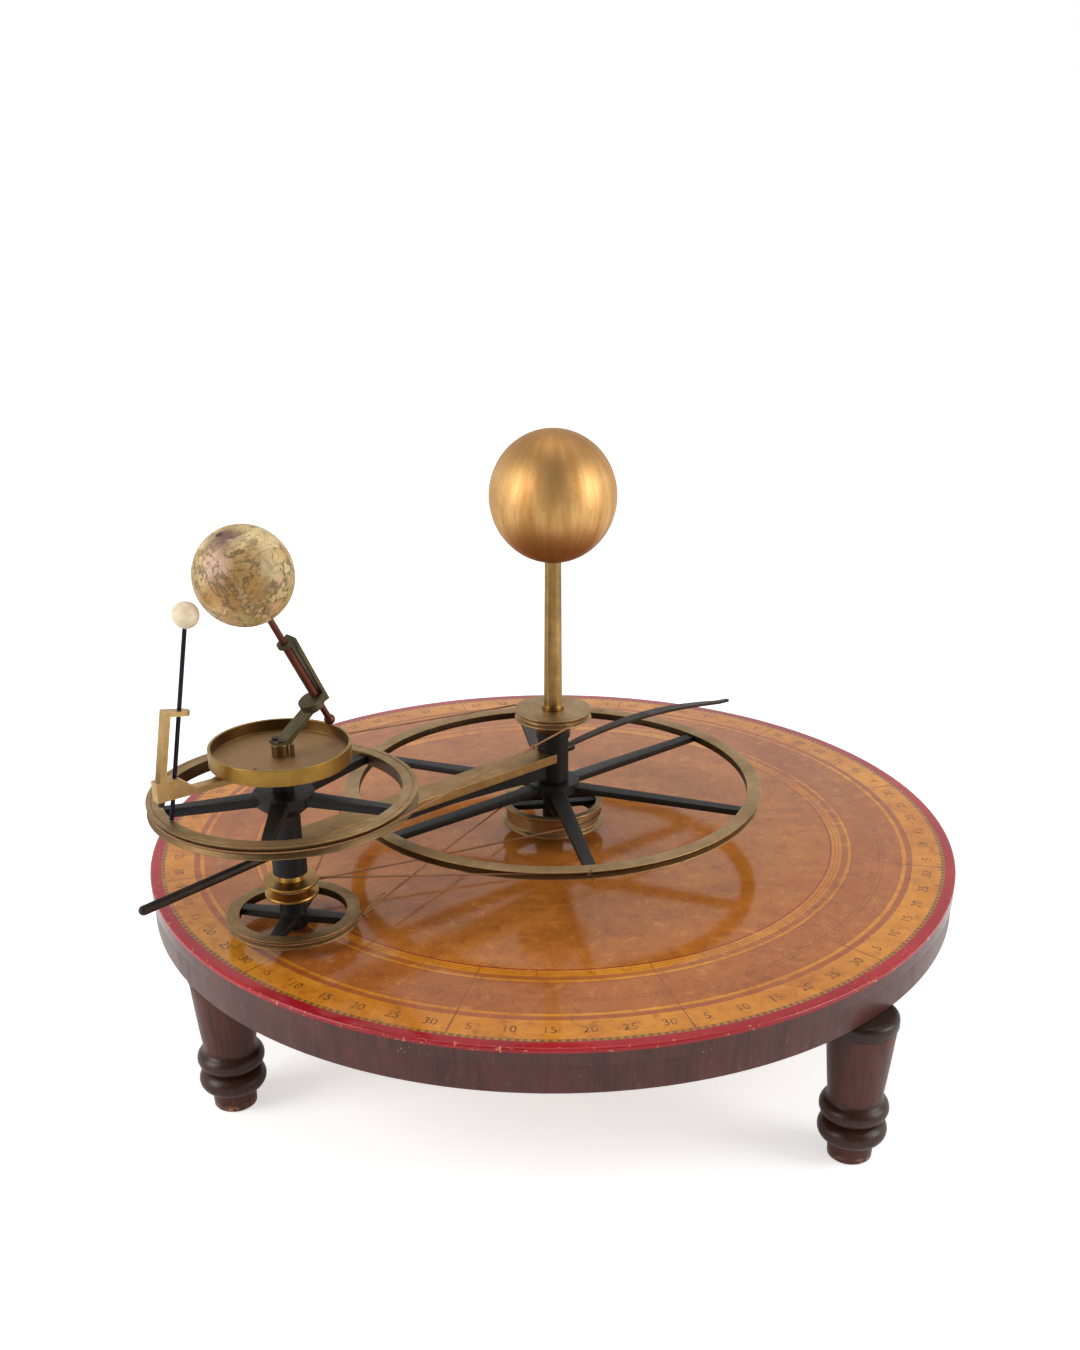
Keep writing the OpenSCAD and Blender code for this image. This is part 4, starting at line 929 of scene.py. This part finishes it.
class TableSettings(bpy.types.PropertyGroup):
    radius: length("Top radius", "Radius of the table top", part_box("table_top")[1].x)
    red_in: length("Red edge", "Inner radius of the red edge", 0.2970)
    month_out: length("Month ring, outer", "Outer radius of the month ring", 0.2945)
    month_in: length("Month ring, inner", "Inner radius of the month ring", 0.2730)
    band_out: length("Brown band", "Outer radius of the brown band", 0.2655)
    inner_ring_out: length("Inner ring, outer", "Outer radius of the inner ring", 0.2285)
    inner_ring_in: length("Inner ring, inner", "Inner radius of the inner ring", 0.2140)
    number_height: length("Number height", "Height of the day numbers", 0.0074)
    first_month: direction("First month", "Direction of a month division", -72.8)
    field_wood: paint("Field", "Varnished wood inside the rings", rgb(182, 110, 42))
    ring_paint: paint("Rings", "Yellow of the month ring and the narrow rings", rgb(212, 140, 42))
    red_paint: paint("Red edge colour", "Paint on the edge of the top", rgb(176, 36, 42))


class CordSettings(bpy.types.PropertyGroup):
    radius: length("Cord radius", "Radius of the drive cords", 0.0007)
    twist: length("Twist", "Length of one turn of the strands", 0.0050)
    strands: IntProperty(name="Strands", description="Strands in a cord", default=3, min=2, max=6)
    string: paint("String", "Lighter brown of the string", rgb(166, 118, 78))


class BallSettings(bpy.types.PropertyGroup):
    leaf: paint("Gold leaf", "Burnished streaks of the sun", rgb(228, 188, 126))
    ivory: paint("Ivory", "Lighter parts of the moon", rgb(236, 220, 192))
    sea: paint("Sea", "Palest paper of the globe", rgb(232, 208, 158))


class StageSettings(bpy.types.PropertyGroup):
    camera_place: FloatVectorProperty(name="Camera", description="Place of the camera", unit="LENGTH",
                                      default=(0.0, -1.056, TABLE_TOP + 0.4995))
    camera_pitch: direction("Pitch", "Downward pitch of the camera", 25.2)
    lens: FloatProperty(name="Lens", description="Focal length in millimetres", unit="CAMERA",
                        default=40.0)
    shift_right: FloatProperty(name="Shift right", description="Sideways shift of the framing",
                               default=-0.00963)
    shift_up: FloatProperty(name="Shift up", description="Upward shift of the framing", default=0.11259)
    floor_colour: FloatVectorProperty(name="Floor", description="Colour of the floor", subtype="COLOR",
                                      default=(0.86, 0.86, 0.86))
    floor_lift: FloatProperty(name="Floor lift", default=0.56,
                              description="Light added to the floor as the camera sees it")


# Pieces

class TELLURION_OT_table(bpy.types.Operator):
    """Build the table top with its painted rings, and the hoop and battens below"""
    bl_idname = "tellurion.table"
    bl_label = "Table"

    def execute(self, context):
        _, radius, low, high = span("table_top")
        bore, rings = 5.06 * MM, 40
        upper = [(r, high) for r in np.linspace(radius, bore, rings)[1:]]
        outline = fillet([(bore, low), (radius, low), (radius, high)] + upper, 1.6 * MM, 6,
                         (0, 1, *range(3, rings + 2)))
        points, faces = lathe(outline, steps=360)
        make_piece("calendar_top", points, faces, "base", ("table_top",), "calendar top")

        _, radius, low, high = span("apron_hoop")
        wall = 40 * MM
        hoop = fillet([(radius - wall, low), (radius, low), (radius, high), (radius - wall, high)],
                      1.2 * MM, sharp=(2, 3))
        points, faces = lathe(hoop, steps=360)
        make_piece("hoop", points, faces, "base", ("apron_hoop",), "rosewood")
        dress("base", (("batten_lower", "batten_wood", "plain wood", 0.6),
                       ("batten_upper", "batten_wood", "plain wood", 0.6)))
        return {"FINISHED"}


class TELLURION_OT_numbers(bpy.types.Operator):
    """Set the day numbers and the small degree numbers on the table top"""
    bl_idname = "tellurion.numbers"
    bl_label = "Numbers"

    def set_ring(self, name, labels, radius, height, finish):
        """Each label is bent onto its circle: a point (x, y) of the flat number goes to the angle
        a + x / R and the radius R - y, so that it reads from outside the table."""
        points, faces = [], []
        thick = 0.03 * MM
        for text, degrees in labels:
            curve = bpy.data.curves.new(name, "FONT")
            curve.body, curve.size, curve.extrude = text, height * 1.35, thick
            curve.align_x, curve.resolution_u = "CENTER", 3
            letter = bpy.data.objects.new(name, curve)
            bpy.context.scene.collection.objects.link(letter)
            bpy.context.view_layer.update()
            mesh = bpy.data.meshes.new_from_object(letter.evaluated_get(
                bpy.context.evaluated_depsgraph_get()))
            flat = np.empty(len(mesh.vertices) * 3, np.float32)
            mesh.vertices.foreach_get("co", flat)
            flat = flat.reshape(-1, 3)
            angle = math.radians(degrees) + flat[:, 0] / radius
            out = radius - flat[:, 1]
            offset = sum(map(len, points))
            points.append(np.stack([out * np.cos(angle), out * np.sin(angle),
                                    TABLE_TOP + flat[:, 2] + thick * 0.4], -1))
            faces += [[offset + v for v in p.vertices] for p in mesh.polygons]
            bpy.data.objects.remove(letter)
            bpy.data.curves.remove(curve)
            bpy.data.meshes.remove(mesh)
        make_piece(name, np.concatenate(points), faces, "base", (), finish)

    def execute(self, context):
        table = context.scene.tellurion_table
        # a month's days run over 30 degrees, and a sign of the band has 10, 20 and 30
        first = math.degrees(table.first_month)
        day_shift, degree_shift = -2.6, -5
        days = [(str(day), first + 30 * month + day + day_shift)
                for month in range(12) for day in range(5, 31, 5)]
        middle = (table.month_in + table.month_out) / 2
        self.set_ring("day_numbers", days, middle + table.number_height / 2, table.number_height,
                      "printed ink")
        degrees = [(str(ten), first + 30 * sign + ten + degree_shift)
                   for sign in range(12) for ten in (10, 20, 30)]
        self.set_ring("degree_numbers", degrees, table.band_out - 18.5 * MM, 4.2 * MM, "faded ink")
        return {"FINISHED"}


class TELLURION_OT_legs(bpy.types.Operator):
    """Turn the four legs"""
    bl_idname = "tellurion.legs"
    bl_label = "Legs"

    def execute(self, context):
        bead, waist, swell, collar = 23.8 * MM, 18.8 * MM, 23.6 * MM, 24.5 * MM
        angles = np.radians(np.linspace(-90, 90, 15))

        def half_round(middle, bulge, chosen):
            """Side of a bead: (bead - b (1 - cos a), middle + b sin a), sizes in millimetres."""
            return [(bead - bulge * MM * (1 - np.cos(a)), (middle + bulge * np.sin(a)) * MM)
                    for a in chosen]

        for node in ("leg_front_right", "leg_front_left", "leg_back_left", "leg_back_right"):
            centre, _, _, high = span(node)
            head = high - 16 * MM
            start, end = 51 * MM, head - 10 * MM
            foot = [(0, 0), (14.2 * MM, 0), (15.2 * MM, 0.9 * MM), (15.4 * MM, 6 * MM),
                    (15.2 * MM, 13.4 * MM)]
            beads = half_round(23.0, 8.6, angles[1:-1]) + half_round(40.4, 7.6, angles[1:-2])
            body = [(waist + 0.2 * MM, start - 1.4 * MM), (waist, start + 1 * MM)]
            body += [(waist + (swell - waist) * s ** 0.9, start + (end - start) * s)
                     for s in (0.25, 0.5, 0.75, 0.97)]
            body.append((swell - 0.7 * MM, end + 0.4 * MM))
            cap = [(collar - 0.3 * MM, end + 0.8 * MM), (collar, end + 1.6 * MM),
                   (collar, head - 4 * MM), (collar - 0.6 * MM, head - 1.6 * MM),
                   (collar - 2.1 * MM, head - 0.4 * MM), (collar - 4 * MM, head - 0.03 * MM)]
            tenon = [(6 * MM, head - 0.03 * MM), (6 * MM, high), (0, high)]
            points, faces = lathe(foot + beads + body + cap + tenon, centre, 96)
            make_piece(node + "_turned", points, faces, "base", (node,), "turned leg", 50)
        return {"FINISHED"}


def round_rim(node, name, body, finish, width, groove, lip, edge, steps, line=None):
    """Grooved rim of a wheel from its CAD node's place, with broken edges and rounded lips.
    `line` is the place, width and depth of a turned line in its upper face."""
    centre, radius, low, high = span(node)
    middle = (low + high) / 2
    outline = [(radius - width, low), (radius, low), (radius, low + lip),
               (radius - groove, middle - 0.7 * MM), (radius - groove, middle + 0.7 * MM),
               (radius, high - lip), (radius, high)]
    if line:
        place, wide, deep = line
        outline += [(radius - place, high), (radius - place, high - deep),
                    (radius - place - wide, high - deep), (radius - place - wide, high)]
    outline.append((radius - width, high))
    points, faces = lathe(fillet(outline, edge, 3), centre, steps)
    make_piece(name, points, faces, body, (node,), finish)


class TELLURION_OT_column(bpy.types.Operator):
    """Build the fixed wheels, hubs and pulley of the centre column"""
    bl_idname = "tellurion.column"
    bl_label = "Column and fixed wheels"

    def execute(self, context):
        round_rim("big_wheel_rim", "big_wheel", "base", "brass", 10.6 * MM, 5.8 * MM, 0.5 * MM,
                  0.35 * MM, 320)
        dress("base", (
            ("big_wheel_spider", "black_iron", "black iron", 0.7),
            ("base_pulley_spider", "black_iron", "black iron", 0.5),
            ("hub_spacer", "black_iron", "black iron", 0.4), ("base_pulley_rim", "brass", "brass", 0.3),
            ("top_pulley", "brass", "brass", 0.3), ("sun_tube", "brass", "tube brass", 0.3),
            ("centre_rod", "steel", "steel", 0.2), ("rod_nut", "dark_steel", "dark bar", 0.4)))
        return {"FINISHED"}


class TELLURION_OT_sun(bpy.types.Operator):
    """Build the gilt ball"""
    bl_idname = "tellurion.sun"
    bl_label = "Sun"

    def execute(self, context):
        centre, points, faces = node_ball("sun_ball", 96, 180)
        offset = points - np.asarray(centre)
        # shallow dents of an old gilded ball: a slow sum of waves over its surface
        wave = (np.sin(offset[..., 0] * 210 + 1.3) * np.sin(offset[..., 2] * 160 + 0.4)
                + np.sin(offset[..., 1] * 260 + offset[..., 2] * 120))
        points = np.asarray(centre) + offset * (1 - 0.0012 * (wave[..., None] + 2) / 2)
        make_piece("gilt_sun", points.reshape(-1, 3), faces, "base", ("sun_ball",), "gilding")
        return {"FINISHED"}


class TELLURION_OT_arm(bpy.types.Operator):
    """Dress the arm, its sleeves, the date pointer and the handle"""
    bl_idname = "tellurion.arm"
    bl_label = "Arm"

    def execute(self, context):
        dress("arm", (
            ("centre_sleeve", "black_iron", "black iron", 0.6), ("arm_bar", "brass", "bar brass", 0.5),
            ("arm_rib", "black_iron", "black iron", 0.6), ("end_sleeve", "black_iron", "black iron", 0.5),
            ("date_pointer", "dark_steel", "dark bar", 0.3), ("arm_handle", "dark_steel", "dark bar", 0.2),
            ("arm_screws", "dark_steel", "dark bar", 0.15)))
        return {"FINISHED"}


class TELLURION_OT_ring_wheel(bpy.types.Operator):
    """Build the large wheel round the earth post"""
    bl_idname = "tellurion.ring_wheel"
    bl_label = "Ring wheel"

    def execute(self, context):
        round_rim("ring_wheel_rim", "ring_wheel_brass", "ring_wheel", "post brass", 10.3 * MM,
                  2.8 * MM, 0.8 * MM, 0.35 * MM, 260, (3.0 * MM, 0.7 * MM, 0.5 * MM))
        dressed_node("ring_wheel_spider", "ring_wheel", "black iron", 0.7 * MM)
        return {"FINISHED"}


class TELLURION_OT_earth(bpy.types.Operator):
    """Build the earth's post, tray, bracket, spindle and globe"""
    bl_idname = "tellurion.earth"
    bl_label = "Earth"

    def execute(self, context):
        round_rim("lower_wheel_rim", "lower_wheel_bronze", "earth_post", "dull bronze", 8.8 * MM,
                  3.0 * MM, 0.8 * MM, 0.4 * MM, 180)
        dress("earth_post", (
            ("lower_wheel_spider", "black_iron", "black iron", 0.6),
            ("earth_spindle", "steel", "steel", 0.2), ("tray", "brass", "tray brass", 0.4),
            ("tray_boss", "brass", "post brass", 0.4), ("tray_peg", "brass", "post brass", 0.2),
            ("tilt_bracket", "bracket_brass", "bracket", 0.4),
            ("bracket_screws", "dark_steel", "dark bar", 0.15)))
        dress("earth_globe", (("globe_spindle", "spindle_steel", "rusty spindle", 0.2),
                              ("spindle_knob", "spindle_steel", "rusty spindle", 0.2)))
        _, points, faces = node_ball("globe", 120, 200)
        make_piece("map_globe", points.reshape(-1, 3), faces, "earth_globe", ("globe",),
                   "map paper")
        return {"FINISHED"}


class TELLURION_OT_moon(bpy.types.Operator):
    """Build the moon's pulley, strip, rod and ball"""
    bl_idname = "tellurion.moon"
    bl_label = "Moon"

    def execute(self, context):
        dress("moon_carrier", (
            ("moon_pulley", "brass", "bright brass", 0.4), ("moon_tube", "brass", "post brass", 0.2),
            ("moon_hub", "black_iron", "black iron", 0.4), ("moon_arm", "brass", "strip brass", 0.4),
            ("moon_arm_pin", "dark_steel", "dark bar", 0.2)))
        dressed_node("moon_rod", "moon_stem", "moon rod", 0)
        _, points, faces = node_ball("moon_ball", 64, 96)
        make_piece("ivory_moon", points.reshape(-1, 3), faces, "moon_stem", ("moon_ball",),
                   "ivory")
        return {"FINISHED"}


def cord_path(p, zp, q, zq, crossed, lift, spacing=0.6 * MM):
    """Closed line of a drive cord in the arm's frame, turned to the arm's direction: an arc on the
    centre pulley, a straight run, an arc on the follower and a run back. In a crossed cord one
    run passes `lift` above the crossing point and the other as far below it."""
    far = ARM_LENGTH
    free = math.acos((p + q) / far) if crossed else math.acos((p - q) / far)
    start, end = free, 2 * math.pi - free
    first, last = (math.pi - free, -math.pi + free) if crossed else (-free, free)

    def arc(middle, radius, z, begin, stop):
        angles = np.linspace(begin, stop, max(8, int(radius * abs(stop - begin) / spacing)))
        return np.stack([middle + radius * np.cos(angles), radius * np.sin(angles),
                         np.full(len(angles), z)], -1)
    near, distant = arc(0, p, zp, start, end), arc(far, q, zq, first, last)

    def run(a, b, rise):
        count = int(np.linalg.norm(b - a) / spacing)
        s = np.linspace(0, 1, count + 1)[1:-1, None]
        line = a + (b - a) * s
        if crossed:
            cross_at = p / (p + q) if np.hypot(*a[:2]) < far / 2 else q / (p + q)
            hump = np.where(s < cross_at, s / cross_at, (1 - s) / (1 - cross_at))
            line[:, 2:] += rise * (3 * hump ** 2 - 2 * hump ** 3)
        return line
    path = np.concatenate([near, run(near[-1], distant[0], lift), distant,
                           run(distant[-1], near[0], -lift)])
    return turned(path, ARM_AZIMUTH)


def knot(centre, radius, turn):
    """Overhand knot: a trefoil line, at angle t the point (2 + cos 3t) (cos 2t, sin 2t) with the
    height sin 3t, scaled to a few millimetres and turned about the vertical."""
    t = np.linspace(0, 2 * math.pi, 90, endpoint=False)
    ring = 2 + np.cos(3 * t)
    flat = np.stack([ring * np.cos(2 * t), np.sin(3 * t), ring * np.sin(2 * t)], -1) * 0.52 * radius
    return turned(flat, turn) + np.asarray(centre)


def loose_end(start, bend, end, steps=40):
    """Tail of a cord: the quadratic curve (1-s)^2 A + 2 s (1-s) B + s^2 C."""
    s = np.linspace(0, 1, steps)[:, None]
    return (1 - s) ** 2 * np.asarray(start) + 2 * s * (1 - s) * np.asarray(bend) + s ** 2 * np.asarray(end)


class TELLURION_OT_cords(bpy.types.Operator):
    """Lay the three drive cords on their pulleys"""
    bl_idname = "tellurion.cords"
    bl_label = "Drive cords"

    def execute(self, context):
        cord = context.scene.tellurion_cords
        seat, climb, top = 0.25 * MM, 0.15 * MM, TABLE_TOP
        # name, pitch radius and height at the column, pitch radius and height at the post, crossed
        drives = (
            ("moon_cord", 153.2 * MM, top + 40.19 * MM, 12.4 * MM, top + 33.8 * MM, True),
            ("earth_cord", 36.7 * MM, top + 18.3 * MM, 42.7 * MM, top + 12.0 * MM, True),
            ("ring_cord", 26.7 * MM, top + 97.64 * MM, 85.7 * MM, top + 100.2 * MM, False))
        # the share of the whole loop where the knot sits, and where its loose ends point
        ties = {"moon_cord": (0.028, ((3, -4, -4.5), (-3.5, -4, -3.5), (1.5, -4.5, 3.5))),
                "earth_cord": (0.458, ((13.7, 15.3, 8.5), (4, -5, 1))),
                "ring_cord": (0.922, ((-6, -6, -2), (3, -4, -2)))}
        for name, p, zp, q, zq, crossed in drives:
            path = cord_path(p + seat, zp, q + seat, zq, crossed, cord.radius + climb)
            parts = [sweep(path, cord.radius * 0.93, 9, cord.strands, 0.13, cord.twist, True)]
            share, ends = ties[name]
            at = int(share * len(path))
            place = path[at]
            ahead = path[(at + 3) % len(path)] - place
            tied = knot(place, 1.35 * cord.radius, math.atan2(ahead[1], ahead[0]) + math.pi / 2)
            parts.append(sweep(tied, cord.radius * 0.8, 8, cord.strands, 0.13, cord.twist, True))
            for reach in ends:
                tip = place + np.array(reach) * MM
                bend = place + np.array(reach) * (0.55 * MM, 0.55 * MM, 1.1 * MM)
                tail = loose_end(place, bend, tip)
                parts.append(sweep(tail, cord.radius * 0.8, 8, cord.strands, 0.16, cord.twist,
                                   taper=np.linspace(1, 1.15, len(tail))))
            points, faces, turns = [], [], []
            for part_points, part_faces, part_turns in parts:
                offset = sum(map(len, points))
                points.append(part_points)
                faces += [[offset + corner for corner in face] for face in part_faces]
                turns.append(part_turns)
            make_piece(name + "_twisted", np.concatenate(points), faces, "arm", (name,), "string",
                       60, np.concatenate(turns))
        return {"FINISHED"}


class TELLURION_OT_stage(bpy.types.Operator):
    """Set the floor, the soft light and the camera"""
    bl_idname = "tellurion.stage"
    bl_label = "Stage"

    def floor(self, settings):
        """Pale floor, lit up for the camera to white, that keeps the shadow."""
        half = 9.0
        corners = [(-half, -half, 0), (half, -half, 0), (half, half, 0), (-half, half, 0)]
        mesh = bpy.data.meshes.new("floor")
        mesh.from_pydata(corners, [], [(0, 1, 2, 3)])
        floor = bpy.data.objects.new("floor", mesh)
        bpy.context.scene.collection.objects.link(floor)
        material = bpy.data.materials.new("floor")
        material.use_nodes = True
        tree = material.node_tree
        tree.nodes.clear()
        w = Wiring(tree)
        plain = w.node("ShaderNodeBsdfDiffuse", {"Color": (*settings.floor_colour, 1.0)})
        rays = w.node("ShaderNodeLightPath").outputs
        mirrored = w.times(rays["Is Glossy Ray"], 0.3)
        seen = w.math("MAXIMUM", rays["Is Camera Ray"],
                      w.math("MAXIMUM", mirrored, rays["Is Transmission Ray"]))
        # the lamps fade with the distance, so the far floor gets more of the added light
        distance, _, _ = polar(w, w.node("ShaderNodeTexCoord").outputs["Object"])
        lift = w.math("MULTIPLY_ADD", w.ramp_up(distance, 1.2, 5.0), 0.3, settings.floor_lift)
        white = w.node("ShaderNodeEmission", {"Color": (1, 1, 1, 1),
                                              "Strength": w.times(seen, lift)})
        both = w.node("ShaderNodeAddShader", {0: plain.outputs[0], 1: white.outputs[0]})
        w.node("ShaderNodeOutputMaterial", {0: both.outputs[0]})
        mesh.materials.append(material)

    def world(self):
        """White to the camera; a soft studio, darker overhead and behind the camera, to the rest."""
        world = bpy.data.worlds.new("studio")
        world.use_nodes = True
        bpy.context.scene.world = world
        tree = world.node_tree
        tree.nodes.clear()
        w = Wiring(tree)
        split = w.split(w.node("ShaderNodeTexCoord").outputs["Generated"])
        overhead = w.ramp_up(split[2], 0.35, 0.95)
        front = w.ramp_up(split[1], 0.15, -0.3)
        side = w.math("ABSOLUTE", split[0])
        panels = w.times(w.between(side, 0.60, 0.92, 0.07), w.between(split[2], -0.1, 0.62, 0.12))
        level = w.mix_value(overhead, 0.92, 0.30)
        level = w.mix_value(front, level, w.mix_value(panels, 0.10, 0.9))
        rays = w.node("ShaderNodeLightPath").outputs
        glossy, diffuse, white = (
            w.node("ShaderNodeBackground", {"Color": (1, 1, 1, 1), "Strength": strength}).outputs[0]
            for strength in (level, 0.47, 1.0))
        lit = w.mix_shader(rays["Is Glossy Ray"], diffuse, glossy)
        seen = w.math("MAXIMUM", rays["Is Camera Ray"], rays["Is Transmission Ray"])
        w.node("ShaderNodeOutputWorld", {0: w.mix_shader(seen, lit, white)})

    def softbox(self, name, place, aim, size, power, shine):
        """Area lamp at a place, turned to its aim; `shine` is its share in reflections."""
        light = bpy.data.lights.new(name, "AREA")
        light.shape, light.size, light.size_y, light.energy = "RECTANGLE", size[0], size[1], power
        light.specular_factor = shine
        lamp = bpy.data.objects.new(name, light)
        lamp.location = place
        lamp.rotation_mode = "QUATERNION"
        lamp.rotation_quaternion = (Vector(aim) - Vector(place)).to_track_quat("-Z", "Y")
        bpy.context.scene.collection.objects.link(lamp)

    def execute(self, context):
        settings = context.scene.tellurion_stage
        self.floor(settings)
        self.world()
        self.softbox("left softbox", (-1.7, -0.9, 1.1), (0, 0, 0.25), (1.1, 1.5), 24, 0.6)
        self.softbox("right softbox", (1.8, -0.6, 1.0), (0, 0, 0.25), (1.0, 1.5), 22, 0.5)
        self.softbox("overhead softbox", (0.1, 0.5, 2.3), (0, 0, 0.1), (1.8, 1.4), 14, 0.3)
        data = bpy.data.cameras.new("camera")
        data.lens, data.sensor_width, data.sensor_fit = settings.lens, 36.0, "AUTO"
        data.shift_x, data.shift_y = settings.shift_right, settings.shift_up
        data.clip_start, data.clip_end = 0.05, 50.0
        camera = bpy.data.objects.new("camera", data)
        turn = Matrix.Rotation(math.pi / 2 - settings.camera_pitch, 4, "X")
        camera.matrix_world = Matrix.Translation(Vector(settings.camera_place)) @ turn
        context.scene.collection.objects.link(camera)
        context.scene.camera = camera
        context.scene.view_settings.view_transform = "Standard"
        return {"FINISHED"}


class TELLURION_PT_panel(bpy.types.Panel):
    """Lists the settings and the pieces of the tellurion"""
    bl_idname = "TELLURION_PT_panel"
    bl_label = "Tellurion"
    bl_space_type = "VIEW_3D"
    bl_region_type = "UI"
    bl_category = "Tellurion"

    def draw(self, context):
        for group, kind in SETTINGS.items():
            box = self.layout.box()
            for name in kind.__annotations__:
                box.prop(getattr(context.scene, group), name)
        for operator in OPERATORS:
            self.layout.operator(operator.bl_idname)


SETTINGS = {"tellurion_table": TableSettings, "tellurion_cords": CordSettings,
            "tellurion_balls": BallSettings, "tellurion_stage": StageSettings}
OPERATORS = (TELLURION_OT_table, TELLURION_OT_numbers, TELLURION_OT_legs, TELLURION_OT_column,
             TELLURION_OT_sun, TELLURION_OT_arm, TELLURION_OT_ring_wheel, TELLURION_OT_earth,
             TELLURION_OT_moon, TELLURION_OT_cords, TELLURION_OT_stage)


def register():
    for kind in (*SETTINGS.values(), *OPERATORS, TELLURION_PT_panel):
        bpy.utils.register_class(kind)
    for name, kind in SETTINGS.items():
        setattr(bpy.types.Scene, name, PointerProperty(type=kind))


def unregister():
    for name in SETTINGS:
        delattr(bpy.types.Scene, name)
    for kind in (TELLURION_PT_panel, *OPERATORS, *SETTINGS.values()):
        bpy.utils.unregister_class(kind)


def main():
    register()
    for operator in OPERATORS:
        group, name = operator.bl_idname.split(".")
        getattr(getattr(bpy.ops, group), name)()


if __name__ == "__main__":
    main()
